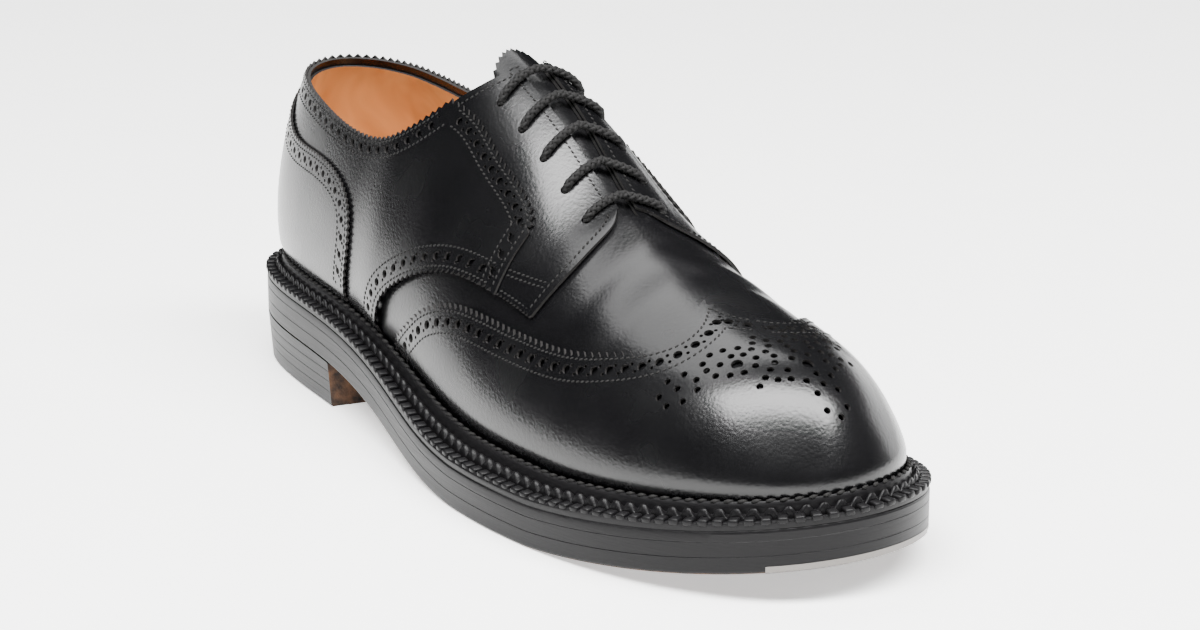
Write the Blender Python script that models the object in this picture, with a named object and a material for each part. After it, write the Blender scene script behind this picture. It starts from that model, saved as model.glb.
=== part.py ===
"""Right derby shoe: wing cap, open lacing and counter on a heavy leather bottom.

+X points to the toe, +Y to the inside of the foot and +Z up. The origin is on the floor, under the
middle of the sole. Tables and sizes are in millimetres, with x measured from near the back of the heel,
and objects are in metres.
"""

import bmesh
import bpy
import numpy as np

MM = 0.001

# Driving dimensions
GAP = 0.3                # clearance between pieces that lie on each other
OUTSOLE = 5.1            # pitch of the outsole layer, with its gap
LOWER_MIDSOLE = 4.5      # pitch of the lower midsole layer
UPPER_MIDSOLE = 3.2      # pitch of the upper midsole layer
INSOLE = 3.0             # thickness of the insole
HEEL_LIFT = 3.6          # pitch of a heel lift
TOP_PIECE = 5.0          # pitch of the lift that walks on the floor
HEEL_LIFTS = 3           # lifts between the top piece and the outsole
HEEL_TAPER = 1.2         # how much narrower the heel is at the floor than under the sole, each side
BREAST_X = 91.0          # heel breast on the centre line
BREAST_SLANT = 0.17      # the breast runs forward towards the inside of the foot
PLATE_X = 300.0          # back edge of the toe plate
PLATE = 2.0              # thickness of the toe plate
WELT_HEIGHT = 6.5        # top of the welt above the sole
WELT_CLEARANCE = 0.75    # from the welt to the upper, enough for the facets of both
WALL = 2.0               # leather and lining of the upper
OVERLAY = 1.2            # leather of the wing cap, quarters and counter
OVERLAY_GAP = 0.6        # clearance under an overlay, enough for the facets of both surfaces
THROAT_X = 192.0         # front end of the slot between the lace facings
SLOT_FRONT = 2.6         # half width of the slot just behind its front end
SLOT_TOP = 4.6           # half width of the slot at the top of the facings
SLOT_TOP_X = 132.0
TONGUE = 1.8             # thickness of the tongue
TONGUE_GAP = 0.8         # clearance between the upper and the tongue
TONGUE_HALF = 17.0       # half width of the tongue
TONGUE_FRONT_X = 204.0
TONGUE_TOP_X = 128.0
LACE = 3.8               # diameter of the lace
LACE_HALF = 12.6         # from the middle of the throat to an eyelet
LACE_BARS = 5
LACE_FIRST_X = 143.0     # top bar
LACE_STEP_X = 10.9       # from one bar to the next
STACK = OUTSOLE + LOWER_MIDSOLE + UPPER_MIDSOLE

# Sections around the shoe, from the back of the heel along the outside to the toe and back along the
# inside: the sole's edge (x, y), how far the upper stands inside it, the x of the ridge that the section
# climbs to, the fullness of its curve (2 is an ellipse, more is squarer) and its swell above the welt.
SECTIONS = (
    # name, sole x, sole y, margin, ridge x, fullness, swell
    ("heel_back", 3.5, 0.0, 9.0, 76.0, 3.0, 3.5),
    ("heel_out_back", 13.0, -22.8, 9.3, 78.0, 2.6, 4.2),
    ("heel_out", 38.0, -34.4, 9.3, 84.0, 2.12, 5.0),
    ("breast_out", 82.0, -40.2, 9.5, 100.0, 2.0, 4.6),
    ("waist_out", 124.0, -45.5, 11.0, 130.0, 1.8, 3.4),
    ("joint_out", 162.0, -52.5, 13.0, 162.0, 1.62, 2.8),
    ("ball_out", 200.0, -56.0, 14.5, 196.0, 1.85, 2.6),
    ("toe_out_back", 240.0, -52.0, 14.0, 230.0, 2.25, 2.6),
    ("toe_out", 274.0, -41.0, 12.5, 253.0, 2.5, 2.8),
    ("toe_out_tip", 301.5, -21.0, 11.0, 269.0, 2.75, 3.0),
    ("toe_tip", 311.0, 4.0, 10.5, 275.0, 2.9, 3.0),
    ("toe_in_tip", 303.5, 29.5, 10.5, 269.0, 2.95, 3.0),
    ("toe_in", 282.0, 46.5, 11.0, 253.0, 2.85, 3.0),
    ("ball_in_fore", 250.0, 55.0, 11.5, 230.0, 2.6, 2.8),
    ("ball_in", 220.0, 57.0, 12.0, 200.0, 2.45, 2.6),
    ("ball_in_back", 190.0, 51.5, 11.5, 174.0, 2.55, 2.2),
    ("joint_in", 160.0, 41.5, 10.5, 150.0, 2.6, 1.8),
    ("waist_in", 125.0, 34.0, 9.5, 124.0, 2.5, 1.8),
    ("breast_in", 84.0, 34.0, 8.5, 100.0, 2.4, 2.4),
    ("heel_in", 40.0, 35.2, 9.3, 84.0, 2.2, 3.8),
    ("heel_in_back", 13.0, 23.2, 9.3, 78.0, 2.6, 3.8),
)
MARGIN, RIDGE_X, FULLNESS, SWELL = 2, 3, 4, 5

# Underside of the outsole: heel seat, arch, flat tread under the ball, toe spring
UNDERSIDE = ((0, 16.3), (45, 16.0), (86, 15.0), (112, 11.8), (140, 6.0), (165, 1.6),
             (185, 0.0), (226, 0.0), (255, 2.6), (282, 6.2), (312, 11.5))
# Ridge of the last: x, height, offset to the inside
RIDGE = ((60, 134.0, 0.0), (78, 133.5, 1.0), (100, 131.0, 2.0), (122, 125.5, 3.0),
         (143, 116.5, 3.9), (165, 103.0, 4.7), (188, 85.0, 5.2), (212, 74.5, 5.7),
         (235, 68.0, 6.0), (255, 63.5, 5.9), (274, 60.0, 5.5), (300, 48.0, 4.5))
# Collar line: x, height on the outside, height on the inside
COLLAR = ((-6, 101.0, 101.0), (6, 100.5, 101.0), (20, 98.5, 100.0), (40, 95.0, 98.0),
          (62, 91.5, 95.5), (84, 89.5, 94.0), (102, 91.5, 95.5), (118, 100.0, 102.0),
          (130, 110.0, 111.0), (142, 120.0, 120.0))

# Edges of the overlays: station from heel back (0) to toe tip (1), rise from the sole (0) to the ridge (1)
WING_EDGE = ((0.39, 0.09), (0.41, 0.15), (0.46, 0.28), (0.52, 0.355), (0.57, 0.40), (0.61, 0.42),
             (0.66, 0.45), (0.69, 0.50), (0.725, 0.58), (0.75, 0.68), (0.763, 0.78), (0.754, 0.86),
             (0.735, 0.94), (0.724, 1.0))
QUARTER_EDGE = ((0.36, 0.09), (0.37, 0.127), (0.393, 0.204), (0.426, 0.28), (0.46, 0.34), (0.49, 0.38),
                (0.526, 0.415), (0.56, 0.44), (0.585, 0.45), (0.596, 0.54), (0.603, 0.66), (0.602, 0.81),
                (0.594, 0.88))
COUNTER_EDGE = ((0.0, 0.31), (0.15, 0.30), (0.233, 0.308), (0.281, 0.284), (0.300, 0.254), (0.308, 0.18),
                (0.303, 0.11))

# Welt section: share of the way from the sole's edge to the upper, height above the sole
WELT_SECTION = ((0.05, 0.3), (0.05, 2.3), (0.40, 2.5), (0.46, 4.6), (0.66, 5.0), (0.74, 4.6), (0.80, 6.3))

# Fineness of the meshes
SIDE_COLUMNS = 39        # columns of the upper on each side
UPPER_ROWS = 10
SLAB_STATIONS = 36
HEEL_STATIONS = 14
WELT_COLUMNS = 70


def spline(knots, values, closed=False):
    """Cubic curve through values at knots, natural at its ends or closed on itself."""
    knots, values = np.asarray(knots, float), np.asarray(values, float)
    count, step = len(knots), np.diff(knots)
    slope = np.diff(values, axis=0) / step[:, None]
    matrix, right = np.zeros((count, count)), np.zeros_like(values)
    for i in range(1, count - 1):
        matrix[i, i - 1:i + 2] = step[i - 1], 2 * (step[i - 1] + step[i]), step[i]
        right[i] = 6 * (slope[i] - slope[i - 1])
    matrix[0, 0] = matrix[-1, -1] = 1
    if closed:
        matrix[0, -1] = -1
        matrix[-1, :2] = 2 * step[0], step[0]
        matrix[-1, -2:] = step[-1], 2 * step[-1]
        right[-1] = 6 * (slope[0] - slope[-1])
    bend = np.linalg.solve(matrix, right)

    def at(x):
        x = np.asarray(x, float)
        k = np.clip(np.searchsorted(knots, x) - 1, 0, count - 2)
        h = step[k][..., None]
        a, b = (knots[k + 1] - x)[..., None] / h, (x - knots[k])[..., None] / h
        cubic = ((a ** 3 - a) * bend[k] + (b ** 3 - b) * bend[k + 1]) * h ** 2 / 6
        return a * values[k] + b * values[k + 1] + cubic
    return at


def profile(table, column=1):
    """Height along x from a table, going on straight past its ends."""
    table = np.asarray(table, float)
    first, last = table[0, 0], table[-1, 0]
    curve = spline(table[:, 0], table[:, column:column + 1])
    reach = 0.5
    start = (curve(first + reach)[..., 0] - table[0, column]) / reach
    end = (table[-1, column] - curve(last - reach)[..., 0]) / reach

    def at(x):
        x = np.asarray(x, float)
        middle = curve(np.clip(x, first, last))[..., 0]
        return middle + start * np.minimum(x - first, 0) + end * np.maximum(x - last, 0)
    return at


underside_curve = profile(UNDERSIDE)
ridge_height = profile(RIDGE, 1)
ridge_side = profile(RIDGE, 2)
collar_out = profile(COLLAR, 1)
collar_in = profile(COLLAR, 2)

section_rows = np.array([row[1:] for row in SECTIONS])
ring_rows = np.vstack([section_rows, section_rows[:1]])
ring_steps = np.linalg.norm(np.diff(ring_rows[:, :2], axis=0), axis=1) ** 0.5
ring_knots = np.concatenate([[0.0], np.cumsum(ring_steps)]) / ring_steps.sum()
section = spline(ring_knots, ring_rows, closed=True)
TOE_U = ring_knots[[row[0] for row in SECTIONS].index("toe_tip")]


def underside(x):
    """Bottom of the outsole, flat on the floor under the ball."""
    return np.maximum(underside_curve(x), 0.0)


def seat(x):
    """Top of the sole, where the upper stands."""
    return underside(x) + STACK


def sole_edge(u, inset=0.0):
    """Point of the sole's outline at u (0 to 1 around it), moved inwards by inset."""
    u = np.asarray(u, float)
    reach = 1e-4
    along = section((u + reach) % 1)[..., :2] - section((u - reach) % 1)[..., :2]
    along /= np.linalg.norm(along, axis=-1, keepdims=True)
    inwards = np.stack([-along[..., 1], along[..., 0]], -1)
    return section(u % 1)[..., :2] + inwards * np.asarray(inset, float)[..., None]


def last_point(u, v):
    """Outside of the upper: u runs around the shoe, v climbs from the sole (0) to the ridge (1)."""
    u, v = np.broadcast_arrays(np.asarray(u, float), np.asarray(v, float))
    row = section(u % 1)
    foot = sole_edge(u, row[..., MARGIN])
    top = np.stack([row[..., RIDGE_X], ridge_side(row[..., RIDGE_X])], -1)
    power = 2 / row[..., FULLNESS]
    out = np.cos(v * np.pi / 2) ** power
    rise = np.sin(v * np.pi / 2) ** power
    swell = row[..., SWELL] * 256 / 27 * rise * (1 - rise) ** 3      # fullest at a quarter of the height
    out = out * (1 + swell / np.linalg.norm(foot - top, axis=-1))
    plan = top + (foot - top) * out[..., None]
    low = seat(plan[..., 0]) + GAP
    height = low + (ridge_height(plan[..., 0]) - low) * rise
    return np.concatenate([plan, height[..., None]], -1)


def last_normal(u, v):
    """Outward direction of the upper's surface, straight up across the ridge."""
    u, v = np.broadcast_arrays(np.asarray(u, float), np.asarray(v, float))
    reach = 1e-3
    around = last_point(u + reach, v) - last_point(u - reach, v)
    up = last_point(u, np.minimum(v + reach, 1)) - last_point(u, np.maximum(v - reach, 0))
    normal = np.cross(around, up)
    normal /= np.linalg.norm(normal, axis=-1, keepdims=True)
    x = section(u % 1)[..., RIDGE_X]
    fall = (ridge_height(x + 1) - ridge_height(x - 1)) / 2
    crest = np.stack([-fall, np.zeros_like(fall), np.ones_like(fall)], -1)
    crest /= np.linalg.norm(crest, axis=-1, keepdims=True)
    return np.where((v > 1 - reach / 2)[..., None], crest, normal)


def surface(u, v, lift=0.0):
    """A point of the upper's surface, lifted along its normal."""
    return last_point(u, v) + last_normal(u, v) * lift


def solve(test, low, high, shape=()):
    """Where test changes from true to false between low and high, for one value or an array of them."""
    low, high = np.full(shape, low, float), np.full(shape, high, float)
    for _ in range(40):
        middle = (low + high) / 2
        ahead = test(middle)
        low, high = np.where(ahead, middle, low), np.where(ahead, high, middle)
    return (low + high) / 2


def outside(station):
    """Place around the shoe of a station on the outside: 0 at the heel's back, 1 at the toe."""
    return np.asarray(station, float) * TOE_U


def inside(station):
    """The place on the inside whose section climbs to the same point of the ridge."""
    target = section(outside(station))[..., RIDGE_X]
    place = solve(lambda u: section(u)[..., RIDGE_X] > target, TOE_U, 1.0, target.shape)
    return np.where(np.asarray(station) <= 0, 1.0, place)


def station_at(ridge_x):
    """Station whose section climbs to the ridge at this x."""
    return solve(lambda s: section(outside(s))[..., RIDGE_X] < ridge_x, 0.0, 1.0)


def slot_half(x):
    """Half width of the slot between the facings."""
    share = np.clip((THROAT_X - x) / (THROAT_X - SLOT_TOP_X), 0, 1)
    return np.where(x < THROAT_X, SLOT_FRONT + (SLOT_TOP - SLOT_FRONT) * share, 0.0)


def rise_at_distance(u, distance):
    """Rise of the point that lies this far from the ridge, seen from above."""
    u = np.asarray(u, float)
    ridge_x = section(u % 1)[..., RIDGE_X]

    def farther(v):
        point = last_point(u, v)
        return np.hypot(point[..., 0] - ridge_x, point[..., 1] - ridge_side(ridge_x)) > distance
    return solve(farther, 0.0, 1.0, u.shape)


def top_rise(u):
    """Rise of the upper's top edge: the collar line, the slot's edge or the closed ridge."""
    u = np.asarray(u, float)

    def below(v):
        point = last_point(u, v)
        line = np.where(u < TOE_U, collar_out(point[..., 0]), collar_in(point[..., 0]))
        return point[..., 2] < line
    collar = solve(below, 0.0, 1.0, u.shape)
    half = slot_half(section(u % 1)[..., RIDGE_X])
    slot = np.where(half > 0, rise_at_distance(u, half), 1.0)
    rise = np.minimum(collar, slot)
    return np.where(rise > 1 - 1e-6, 1.0, rise)


def welt_rise(u, height):
    """Rise at which the upper comes out of the welt."""
    u = np.asarray(u, float)

    def lower(v):
        point = last_point(u, v)
        return point[..., 2] < seat(point[..., 0]) + height
    return solve(lower, 0.0, 0.5, u.shape)


def walk(line, place, count):
    """Points in equal steps along a line of stations and rises drawn on one side of the upper."""
    line = np.asarray(line, float)
    fine = np.linspace(0, len(line) - 1, 40 * (len(line) - 1) + 1)
    stations, rises = (np.interp(fine, np.arange(len(line)), line[:, k]) for k in (0, 1))
    steps = np.linalg.norm(np.diff(last_point(place(stations), rises), axis=0), axis=1)
    length = np.concatenate([[0], np.cumsum(steps)])
    marks = np.linspace(0, length[-1], count)
    return np.column_stack([np.interp(marks, length, stations), np.interp(marks, length, rises)])


def ruled(lower, upper, place, rows):
    """Grid of stations and rises between two edges, column by column, with even steps up each column."""
    return np.array([walk((foot, head), place, rows + 1) for foot, head in zip(lower, upper)])


def to_frame(point):
    """A point of the tables in the part's frame, in metres."""
    return ((point - FRAME_ORIGIN) * MM).tolist()


outline = sole_edge(np.linspace(0, 1, 2001))
FRAME_ORIGIN = np.append((outline.min(0) + outline.max(0)) / 2, 0.0)


def make_material(name, colour, roughness, metallic=0.0):
    """A Principled material with the piece's colour."""
    material = bpy.data.materials.new(name)
    material.use_nodes = True
    shader = material.node_tree.nodes["Principled BSDF"]
    shader.inputs["Base Color"].default_value = (*colour, 1)
    shader.inputs["Roughness"].default_value = roughness
    shader.inputs["Metallic"].default_value = metallic
    material.diffuse_color = (*colour, 1)
    return material


def add_object(name, bm, material):
    """Close a bmesh into a named object with outward faces."""
    bmesh.ops.remove_doubles(bm, verts=bm.verts, dist=1e-6)
    bmesh.ops.recalc_face_normals(bm, faces=bm.faces)
    mesh = bpy.data.meshes.new(name)
    bm.to_mesh(mesh)
    bm.free()
    mesh.shade_smooth()
    mesh.set_sharp_from_angle(angle=np.radians(35))
    mesh.materials.append(material)
    piece = bpy.data.objects.new(name, mesh)
    bpy.context.collection.objects.link(piece)
    return piece


def add_shell(name, outer, inner, material, ring=False, open_top=None):
    """A wall between two grids of points (columns by rows), closed along its edges.

    A ring joins its last column to its first. Where open_top is false the top edge is left to meet the
    column across the ridge, which has the same points.
    """
    columns, rows = outer.shape[:2]
    if open_top is None:
        open_top = np.ones(columns, bool)
    bm = bmesh.new()
    out = [[bm.verts.new(to_frame(p)) for p in column] for column in outer]
    back = [[bm.verts.new(to_frame(p)) for p in column] for column in inner]
    for c in range(columns if ring else columns - 1):
        n = (c + 1) % columns
        for r in range(rows - 1):
            bm.faces.new((out[c][r], out[n][r], out[n][r + 1], out[c][r + 1]))
            bm.faces.new((back[c][r], back[c][r + 1], back[n][r + 1], back[n][r]))
        bm.faces.new((out[c][0], back[c][0], back[n][0], out[n][0]))
        if open_top[c] or open_top[n]:
            bm.faces.new((out[c][-1], out[n][-1], back[n][-1], back[c][-1]))
    for c in () if ring else (0, columns - 1):
        for r in range(rows - 1):
            bm.faces.new((out[c][r], out[c][r + 1], back[c][r + 1], back[c][r]))
    return add_object(name, bm, material)


def add_cover(name, sides, lifts, material, ring=False):
    """A wall that follows the last, from grids of stations and rises on its sides, between two lifts."""
    places = np.concatenate([place(grid[..., 0]) for place, grid in sides])
    rises = np.concatenate([grid[..., 1] for _, grid in sides])
    outer, inner = surface(places, rises, max(lifts)), surface(places, rises, min(lifts))
    return add_shell(name, outer, inner, material, ring, rises[:, -1] < 1)


def add_slab(name, stations, low, high, material, inset_low=0.0, inset_high=0.0):
    """A layer of the bottom across pairs of edge places, between two heights that follow x."""
    bm = bmesh.new()
    rims = []
    for inset, height in ((inset_low, low), (inset_high, high)):
        rim = []
        for number, pair in enumerate(stations):
            ends = []
            for u in pair:
                edge = sole_edge(u, inset(u) if callable(inset) else inset)
                point = np.append(edge, height(edge[0], number))
                ends.append(bm.verts.new(to_frame(point)))
            rim.append(ends)
        rims.append(rim)
    under, over = rims
    for k in range(len(stations) - 1):
        for level in (under, over):
            bm.faces.new((level[k][0], level[k + 1][0], level[k + 1][1], level[k][1]))
        for side in (0, 1):
            bm.faces.new((under[k][side], under[k + 1][side], over[k + 1][side], over[k][side]))
    for k in (0, -1):
        bm.faces.new((under[k][0], under[k][1], over[k][1], over[k][0]))
    return add_object(name, bm, material)


def edge_pairs(last_out, last_in, count):
    """Places on the outside and the inside that a slab's strips join, from the heel's back forwards."""
    ease = 0.5 - 0.5 * np.cos(np.linspace(0.06, 1, count) * np.pi)
    shares = 0.6 * np.linspace(1 / count, 1, count) + 0.4 * ease
    shares = shares / shares[-1]
    return [(share * last_out, 1 - share * (1 - last_in)) for share in shares]


def crossing(line, low, high):
    """Place where the sole's edge, followed from low, crosses a line of x over y."""
    def behind(u):
        x, y = sole_edge(u)
        return x < line(y)
    return float(solve(behind, low, high))


def breast(y):
    """Line of the heel breast across the sole."""
    return BREAST_X + BREAST_SLANT * y


def build_bottom():
    """Outsole with its toe plate, two midsoles and the insole."""
    edge_black = make_material("waxed_edge", (0.03, 0.03, 0.032), 0.4)
    sole_brown = make_material("sole_leather", (0.22, 0.12, 0.07), 0.7)
    insole_tan = make_material("insole_leather", (0.5, 0.24, 0.09), 0.6)
    steel = make_material("plate_steel", (0.6, 0.59, 0.57), 0.35, 1.0)

    tip_share = 0.985            # the slabs end in a short flat tip
    full = edge_pairs(TOE_U * tip_share, 1 - (1 - TOE_U) * tip_share, SLAB_STATIONS)
    reach = 3.0                  # strips nearer than this to the plate's back edge are left out
    behind = [pair for pair in full if max(sole_edge(u)[0] for u in pair) < PLATE_X - reach]
    ahead = [pair for pair in full if min(sole_edge(u)[0] for u in pair) > PLATE_X + reach]
    plate_out = crossing(lambda y: PLATE_X, 0.3, TOE_U)
    plate_in = crossing(lambda y: PLATE_X, 0.75, TOE_U)
    step = (plate_out, plate_in)

    def outsole_low(x, number):
        return underside(x) + (PLATE + GAP if number > len(behind) else 0.0)

    def outsole_high(x, _):
        return underside(x) + OUTSOLE - GAP
    add_slab("outsole", behind + [step, step] + ahead, outsole_low, outsole_high, sole_brown)

    shift = 0.002                # the plate stops a little in front of the outsole's step
    plate_strips = [(plate_out + shift, plate_in - shift)] + ahead
    add_slab("toe_plate", plate_strips, lambda x, _: underside(x), lambda x, _: underside(x) + PLATE, steel)

    layers = (("midsole_lower", OUTSOLE, LOWER_MIDSOLE),
              ("midsole_upper", OUTSOLE + LOWER_MIDSOLE, UPPER_MIDSOLE))
    for name, base, pitch in layers:
        def low(x, _, base=base):
            return underside(x) + base

        def high(x, _, top=base + pitch):
            return underside(x) + top - GAP
        add_slab(name, full, low, high, edge_black)

    def insole_inset(u):
        return section(u % 1)[MARGIN] + WALL + 2 * GAP
    add_slab("insole", full, lambda x, _: seat(x), lambda x, _: seat(x) + INSOLE, insole_tan,
             insole_inset, insole_inset)


def build_heel():
    """Stacked heel: the top piece on the floor and the lifts above it, flush with the sole's edge."""
    edge_black = bpy.data.materials["waxed_edge"]
    strips = edge_pairs(crossing(breast, 0.0, 0.3), crossing(breast, 1.0, 0.75), HEEL_STATIONS)
    names = ["heel_top_piece"] + [f"heel_lift_{k + 1}" for k in range(HEEL_LIFTS)]
    floors = [0.0] + [TOP_PIECE + HEEL_LIFT * k for k in range(HEEL_LIFTS)]
    ceilings = floors[1:] + [None]
    full_height = float(underside(0.0))

    def taper(height):
        return HEEL_TAPER * (1 - height / full_height)

    for name, floor, ceiling in zip(names, floors, ceilings):
        def low(_x, _, floor=floor):
            return floor

        def high(x, _, ceiling=ceiling):
            return (underside(x) if ceiling is None else ceiling) - GAP
        add_slab(name, strips, low, high, edge_black, taper(floor), taper(ceiling or full_height))


def build_welt():
    """Ring with a stitched tread, a notched bead and a raised edge against the upper."""
    welt_black = make_material("welt_leather", (0.02, 0.02, 0.022), 0.5)
    bm = bmesh.new()
    rings = []
    for u in np.arange(WELT_COLUMNS) / WELT_COLUMNS:
        edge = sole_edge(u)
        room = surface(u, welt_rise(u, WELT_HEIGHT), WELT_CLEARANCE)[:2] - edge
        points = []
        for share, height in WELT_SECTION:
            spot = edge + share * room
            points.append(np.append(spot, seat(spot[0]) + height))
        for height in (WELT_HEIGHT, WELT_HEIGHT / 2, GAP):
            spot = surface(u, welt_rise(u, height), WELT_CLEARANCE)[:2]
            points.append(np.append(spot, seat(spot[0]) + height))
        rings.append([bm.verts.new(to_frame(p)) for p in points])
    for c, ring in enumerate(rings):
        following = rings[(c + 1) % WELT_COLUMNS]
        for r in range(len(ring)):
            n = (r + 1) % len(ring)
            bm.faces.new((ring[r], ring[n], following[n], following[r]))
    add_object("welt", bm, welt_black)


def build_upper():
    """The hollow upper: one wall from the sole to the collar and the slot, closed over the vamp."""
    calf = make_material("black_calf", (0.012, 0.012, 0.013), 0.3)
    stations = np.linspace(0, 1, 400)
    top = walk(np.column_stack([stations, top_rise(outside(stations))]), outside, SIDE_COLUMNS + 2)
    foot = walk(((0, 0), (1, 0)), outside, SIDE_COLUMNS + 2)
    grids = []
    for place in (outside, inside):
        head = np.column_stack([top[:, 0], top_rise(place(top[:, 0]))])
        grids.append(ruled(foot, head, place, UPPER_ROWS))
    sides = ((outside, grids[0]), (inside, grids[1][-2:0:-1]))
    add_cover("upper", sides, (0.0, -WALL), calf, ring=True)


def welt_line(place, first, last):
    """Line of stations and rises just above the welt."""
    stations = np.linspace(first, last, 25)
    return np.column_stack([stations, welt_rise(place(stations), WELT_HEIGHT + 2 * GAP)])


def build_overlays():
    """Wing cap, quarters with their facings, and counter, on top of the upper."""
    calf = bpy.data.materials["black_calf"]
    lifts = (OVERLAY_GAP, OVERLAY_GAP + OVERLAY)

    # Wing cap: from the end of the outer wing round the toe to the end of the inner wing
    columns, rows = 29, 8
    edge = np.array(WING_EDGE)
    ridge = [(1.0, 1.0)]
    head = walk(np.vstack([edge, ridge]), outside, columns)
    head[head[:, 1] > 0.999, 1] = 1.0
    grids = [ruled(walk(welt_line(place, edge[0, 0], 1.0), place, columns), head, place, rows)
             for place in (outside, inside)]
    add_cover("wing_cap", ((outside, grids[0]), (inside, grids[1][-2::-1])), lifts, calf)

    # Quarters: from the counter to the front edge of the facing, from the vamp to the collar and the slot
    columns, rows = 20, 10
    seam = 0.006                 # share of the side between the counter and a quarter
    inset = 0.012                # the overlay stops just inside the upper's top edge
    front = np.array(QUARTER_EDGE)
    first = COUNTER_EDGE[-2][0] + seam
    stations = np.linspace(first, front[-1, 0] - seam, 200)
    for name, place in (("quarter_outer", outside), ("quarter_inner", inside)):
        lower = np.vstack([welt_line(place, first, front[0, 0]), front])
        top = np.column_stack([stations, top_rise(place(stations)) - inset])
        grid = ruled(walk(lower, place, columns), walk(top, place, columns), place, rows)
        add_cover(name, ((place, grid),), lifts, calf)

    # Counter: round the back, from one side to the other
    columns, rows = 15, 8
    head = walk(COUNTER_EDGE, outside, columns)
    grids = [ruled(walk(welt_line(place, 0.0, head[-1, 0]), place, columns), head, place, rows)
             for place in (outside, inside)]
    add_cover("counter", ((inside, grids[1][:0:-1]), (outside, grids[0])), lifts, calf)


def across(ridge_x, distance, lift):
    """Point beside the ridge: distance to the inside of the foot, lifted off the surface."""
    station = station_at(ridge_x)
    u = inside(station) if distance > 0 else outside(station)
    rise = rise_at_distance(u, abs(distance)) if distance else 1.0
    return surface(u, rise, lift)


def build_tongue():
    """Tongue under the slot, from below the vamp to just above the facings."""
    calf = bpy.data.materials["black_calf"]
    ends = np.linspace(TONGUE_TOP_X, TONGUE_FRONT_X, 13)
    sides = np.linspace(-TONGUE_HALF, TONGUE_HALF, 9)
    top = -WALL - TONGUE_GAP
    outer = np.array([[across(x, d, top) for d in sides] for x in ends])
    inner = np.array([[across(x, d, top - TONGUE) for d in sides] for x in ends])
    add_shell("tongue", outer, inner, calf)


def build_lace():
    """Straight bars of round lace, each from an outer to an inner eyelet."""
    cotton = make_material("lace_cotton", (0.01, 0.01, 0.01), 0.85)
    lift = OVERLAY_GAP + OVERLAY + GAP + LACE / 2
    sides = np.linspace(-LACE_HALF, LACE_HALF, 7)
    for bar in range(LACE_BARS):
        x = LACE_FIRST_X + LACE_STEP_X * bar
        name = f"lace_bar_{bar + 1}"
        curve = bpy.data.curves.new(name, "CURVE")
        curve.dimensions = "3D"
        curve.bevel_depth = LACE / 2 * MM
        curve.bevel_resolution = 2
        curve.use_fill_caps = True
        path = curve.splines.new("POLY")
        path.points.add(len(sides) - 1)
        for point, distance in zip(path.points, sides):
            point.co = (*to_frame(across(x, distance, lift)), 1)
        curve.materials.append(cotton)
        bpy.context.collection.objects.link(bpy.data.objects.new(name, curve))


def main():
    for old in list(bpy.data.objects):
        bpy.data.objects.remove(old, do_unlink=True)
    build_bottom()
    build_heel()
    build_welt()
    build_upper()
    build_overlays()
    build_tongue()
    build_lace()


main()
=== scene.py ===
# %% [markdown]
# # A wing-tip derby shoe
# A derby is a laced shoe whose quarters are sewn on top of the vamp. This one is polished black calf over
# a tan lining, with brogued bands, on a heavy bottom of three leather layers and a stacked heel. The lesson
# makes its skin in the order in which the real one is closed, welted and finished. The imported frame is
# loaded first and is never moved: each new piece replaces the plain solid of the same name.

import bmesh
import bpy
import numpy as np
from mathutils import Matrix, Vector


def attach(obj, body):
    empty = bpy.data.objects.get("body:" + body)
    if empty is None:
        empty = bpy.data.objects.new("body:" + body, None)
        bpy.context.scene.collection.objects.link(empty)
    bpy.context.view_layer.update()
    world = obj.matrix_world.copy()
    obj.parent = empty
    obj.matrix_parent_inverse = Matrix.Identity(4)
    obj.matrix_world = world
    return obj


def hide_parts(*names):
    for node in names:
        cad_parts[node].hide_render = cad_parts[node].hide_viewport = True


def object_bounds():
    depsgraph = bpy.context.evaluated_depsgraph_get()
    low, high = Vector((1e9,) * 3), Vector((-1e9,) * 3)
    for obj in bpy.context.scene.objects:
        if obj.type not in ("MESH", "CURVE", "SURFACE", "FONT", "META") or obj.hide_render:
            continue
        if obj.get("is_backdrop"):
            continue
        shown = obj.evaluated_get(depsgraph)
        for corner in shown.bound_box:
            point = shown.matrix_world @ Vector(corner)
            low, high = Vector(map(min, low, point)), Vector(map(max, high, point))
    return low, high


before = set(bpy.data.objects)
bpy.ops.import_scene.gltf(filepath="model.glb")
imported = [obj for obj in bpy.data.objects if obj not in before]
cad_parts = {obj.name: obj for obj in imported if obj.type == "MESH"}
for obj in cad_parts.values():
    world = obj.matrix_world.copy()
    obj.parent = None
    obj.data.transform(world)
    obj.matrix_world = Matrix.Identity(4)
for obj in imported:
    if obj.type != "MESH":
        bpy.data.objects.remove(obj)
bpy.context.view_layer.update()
MM = 0.001

# %% [markdown]
# ## The last
# Leather takes the shape of the last that it is pulled over, so every piece of the upper needs the last's
# surface as a function. It could be read from the frame's mesh, but a mesh has facets and polished leather
# shows them. The last is therefore worked out again from its sections: twenty-one rows around the shoe,
# each with the sole's edge, the margin of the upper inside it, the point of the ridge it climbs to and the
# fullness of its curve. Sizes are in millimetres, with x from near the heel's back to the toe and y to the
# inside of the foot.

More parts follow.
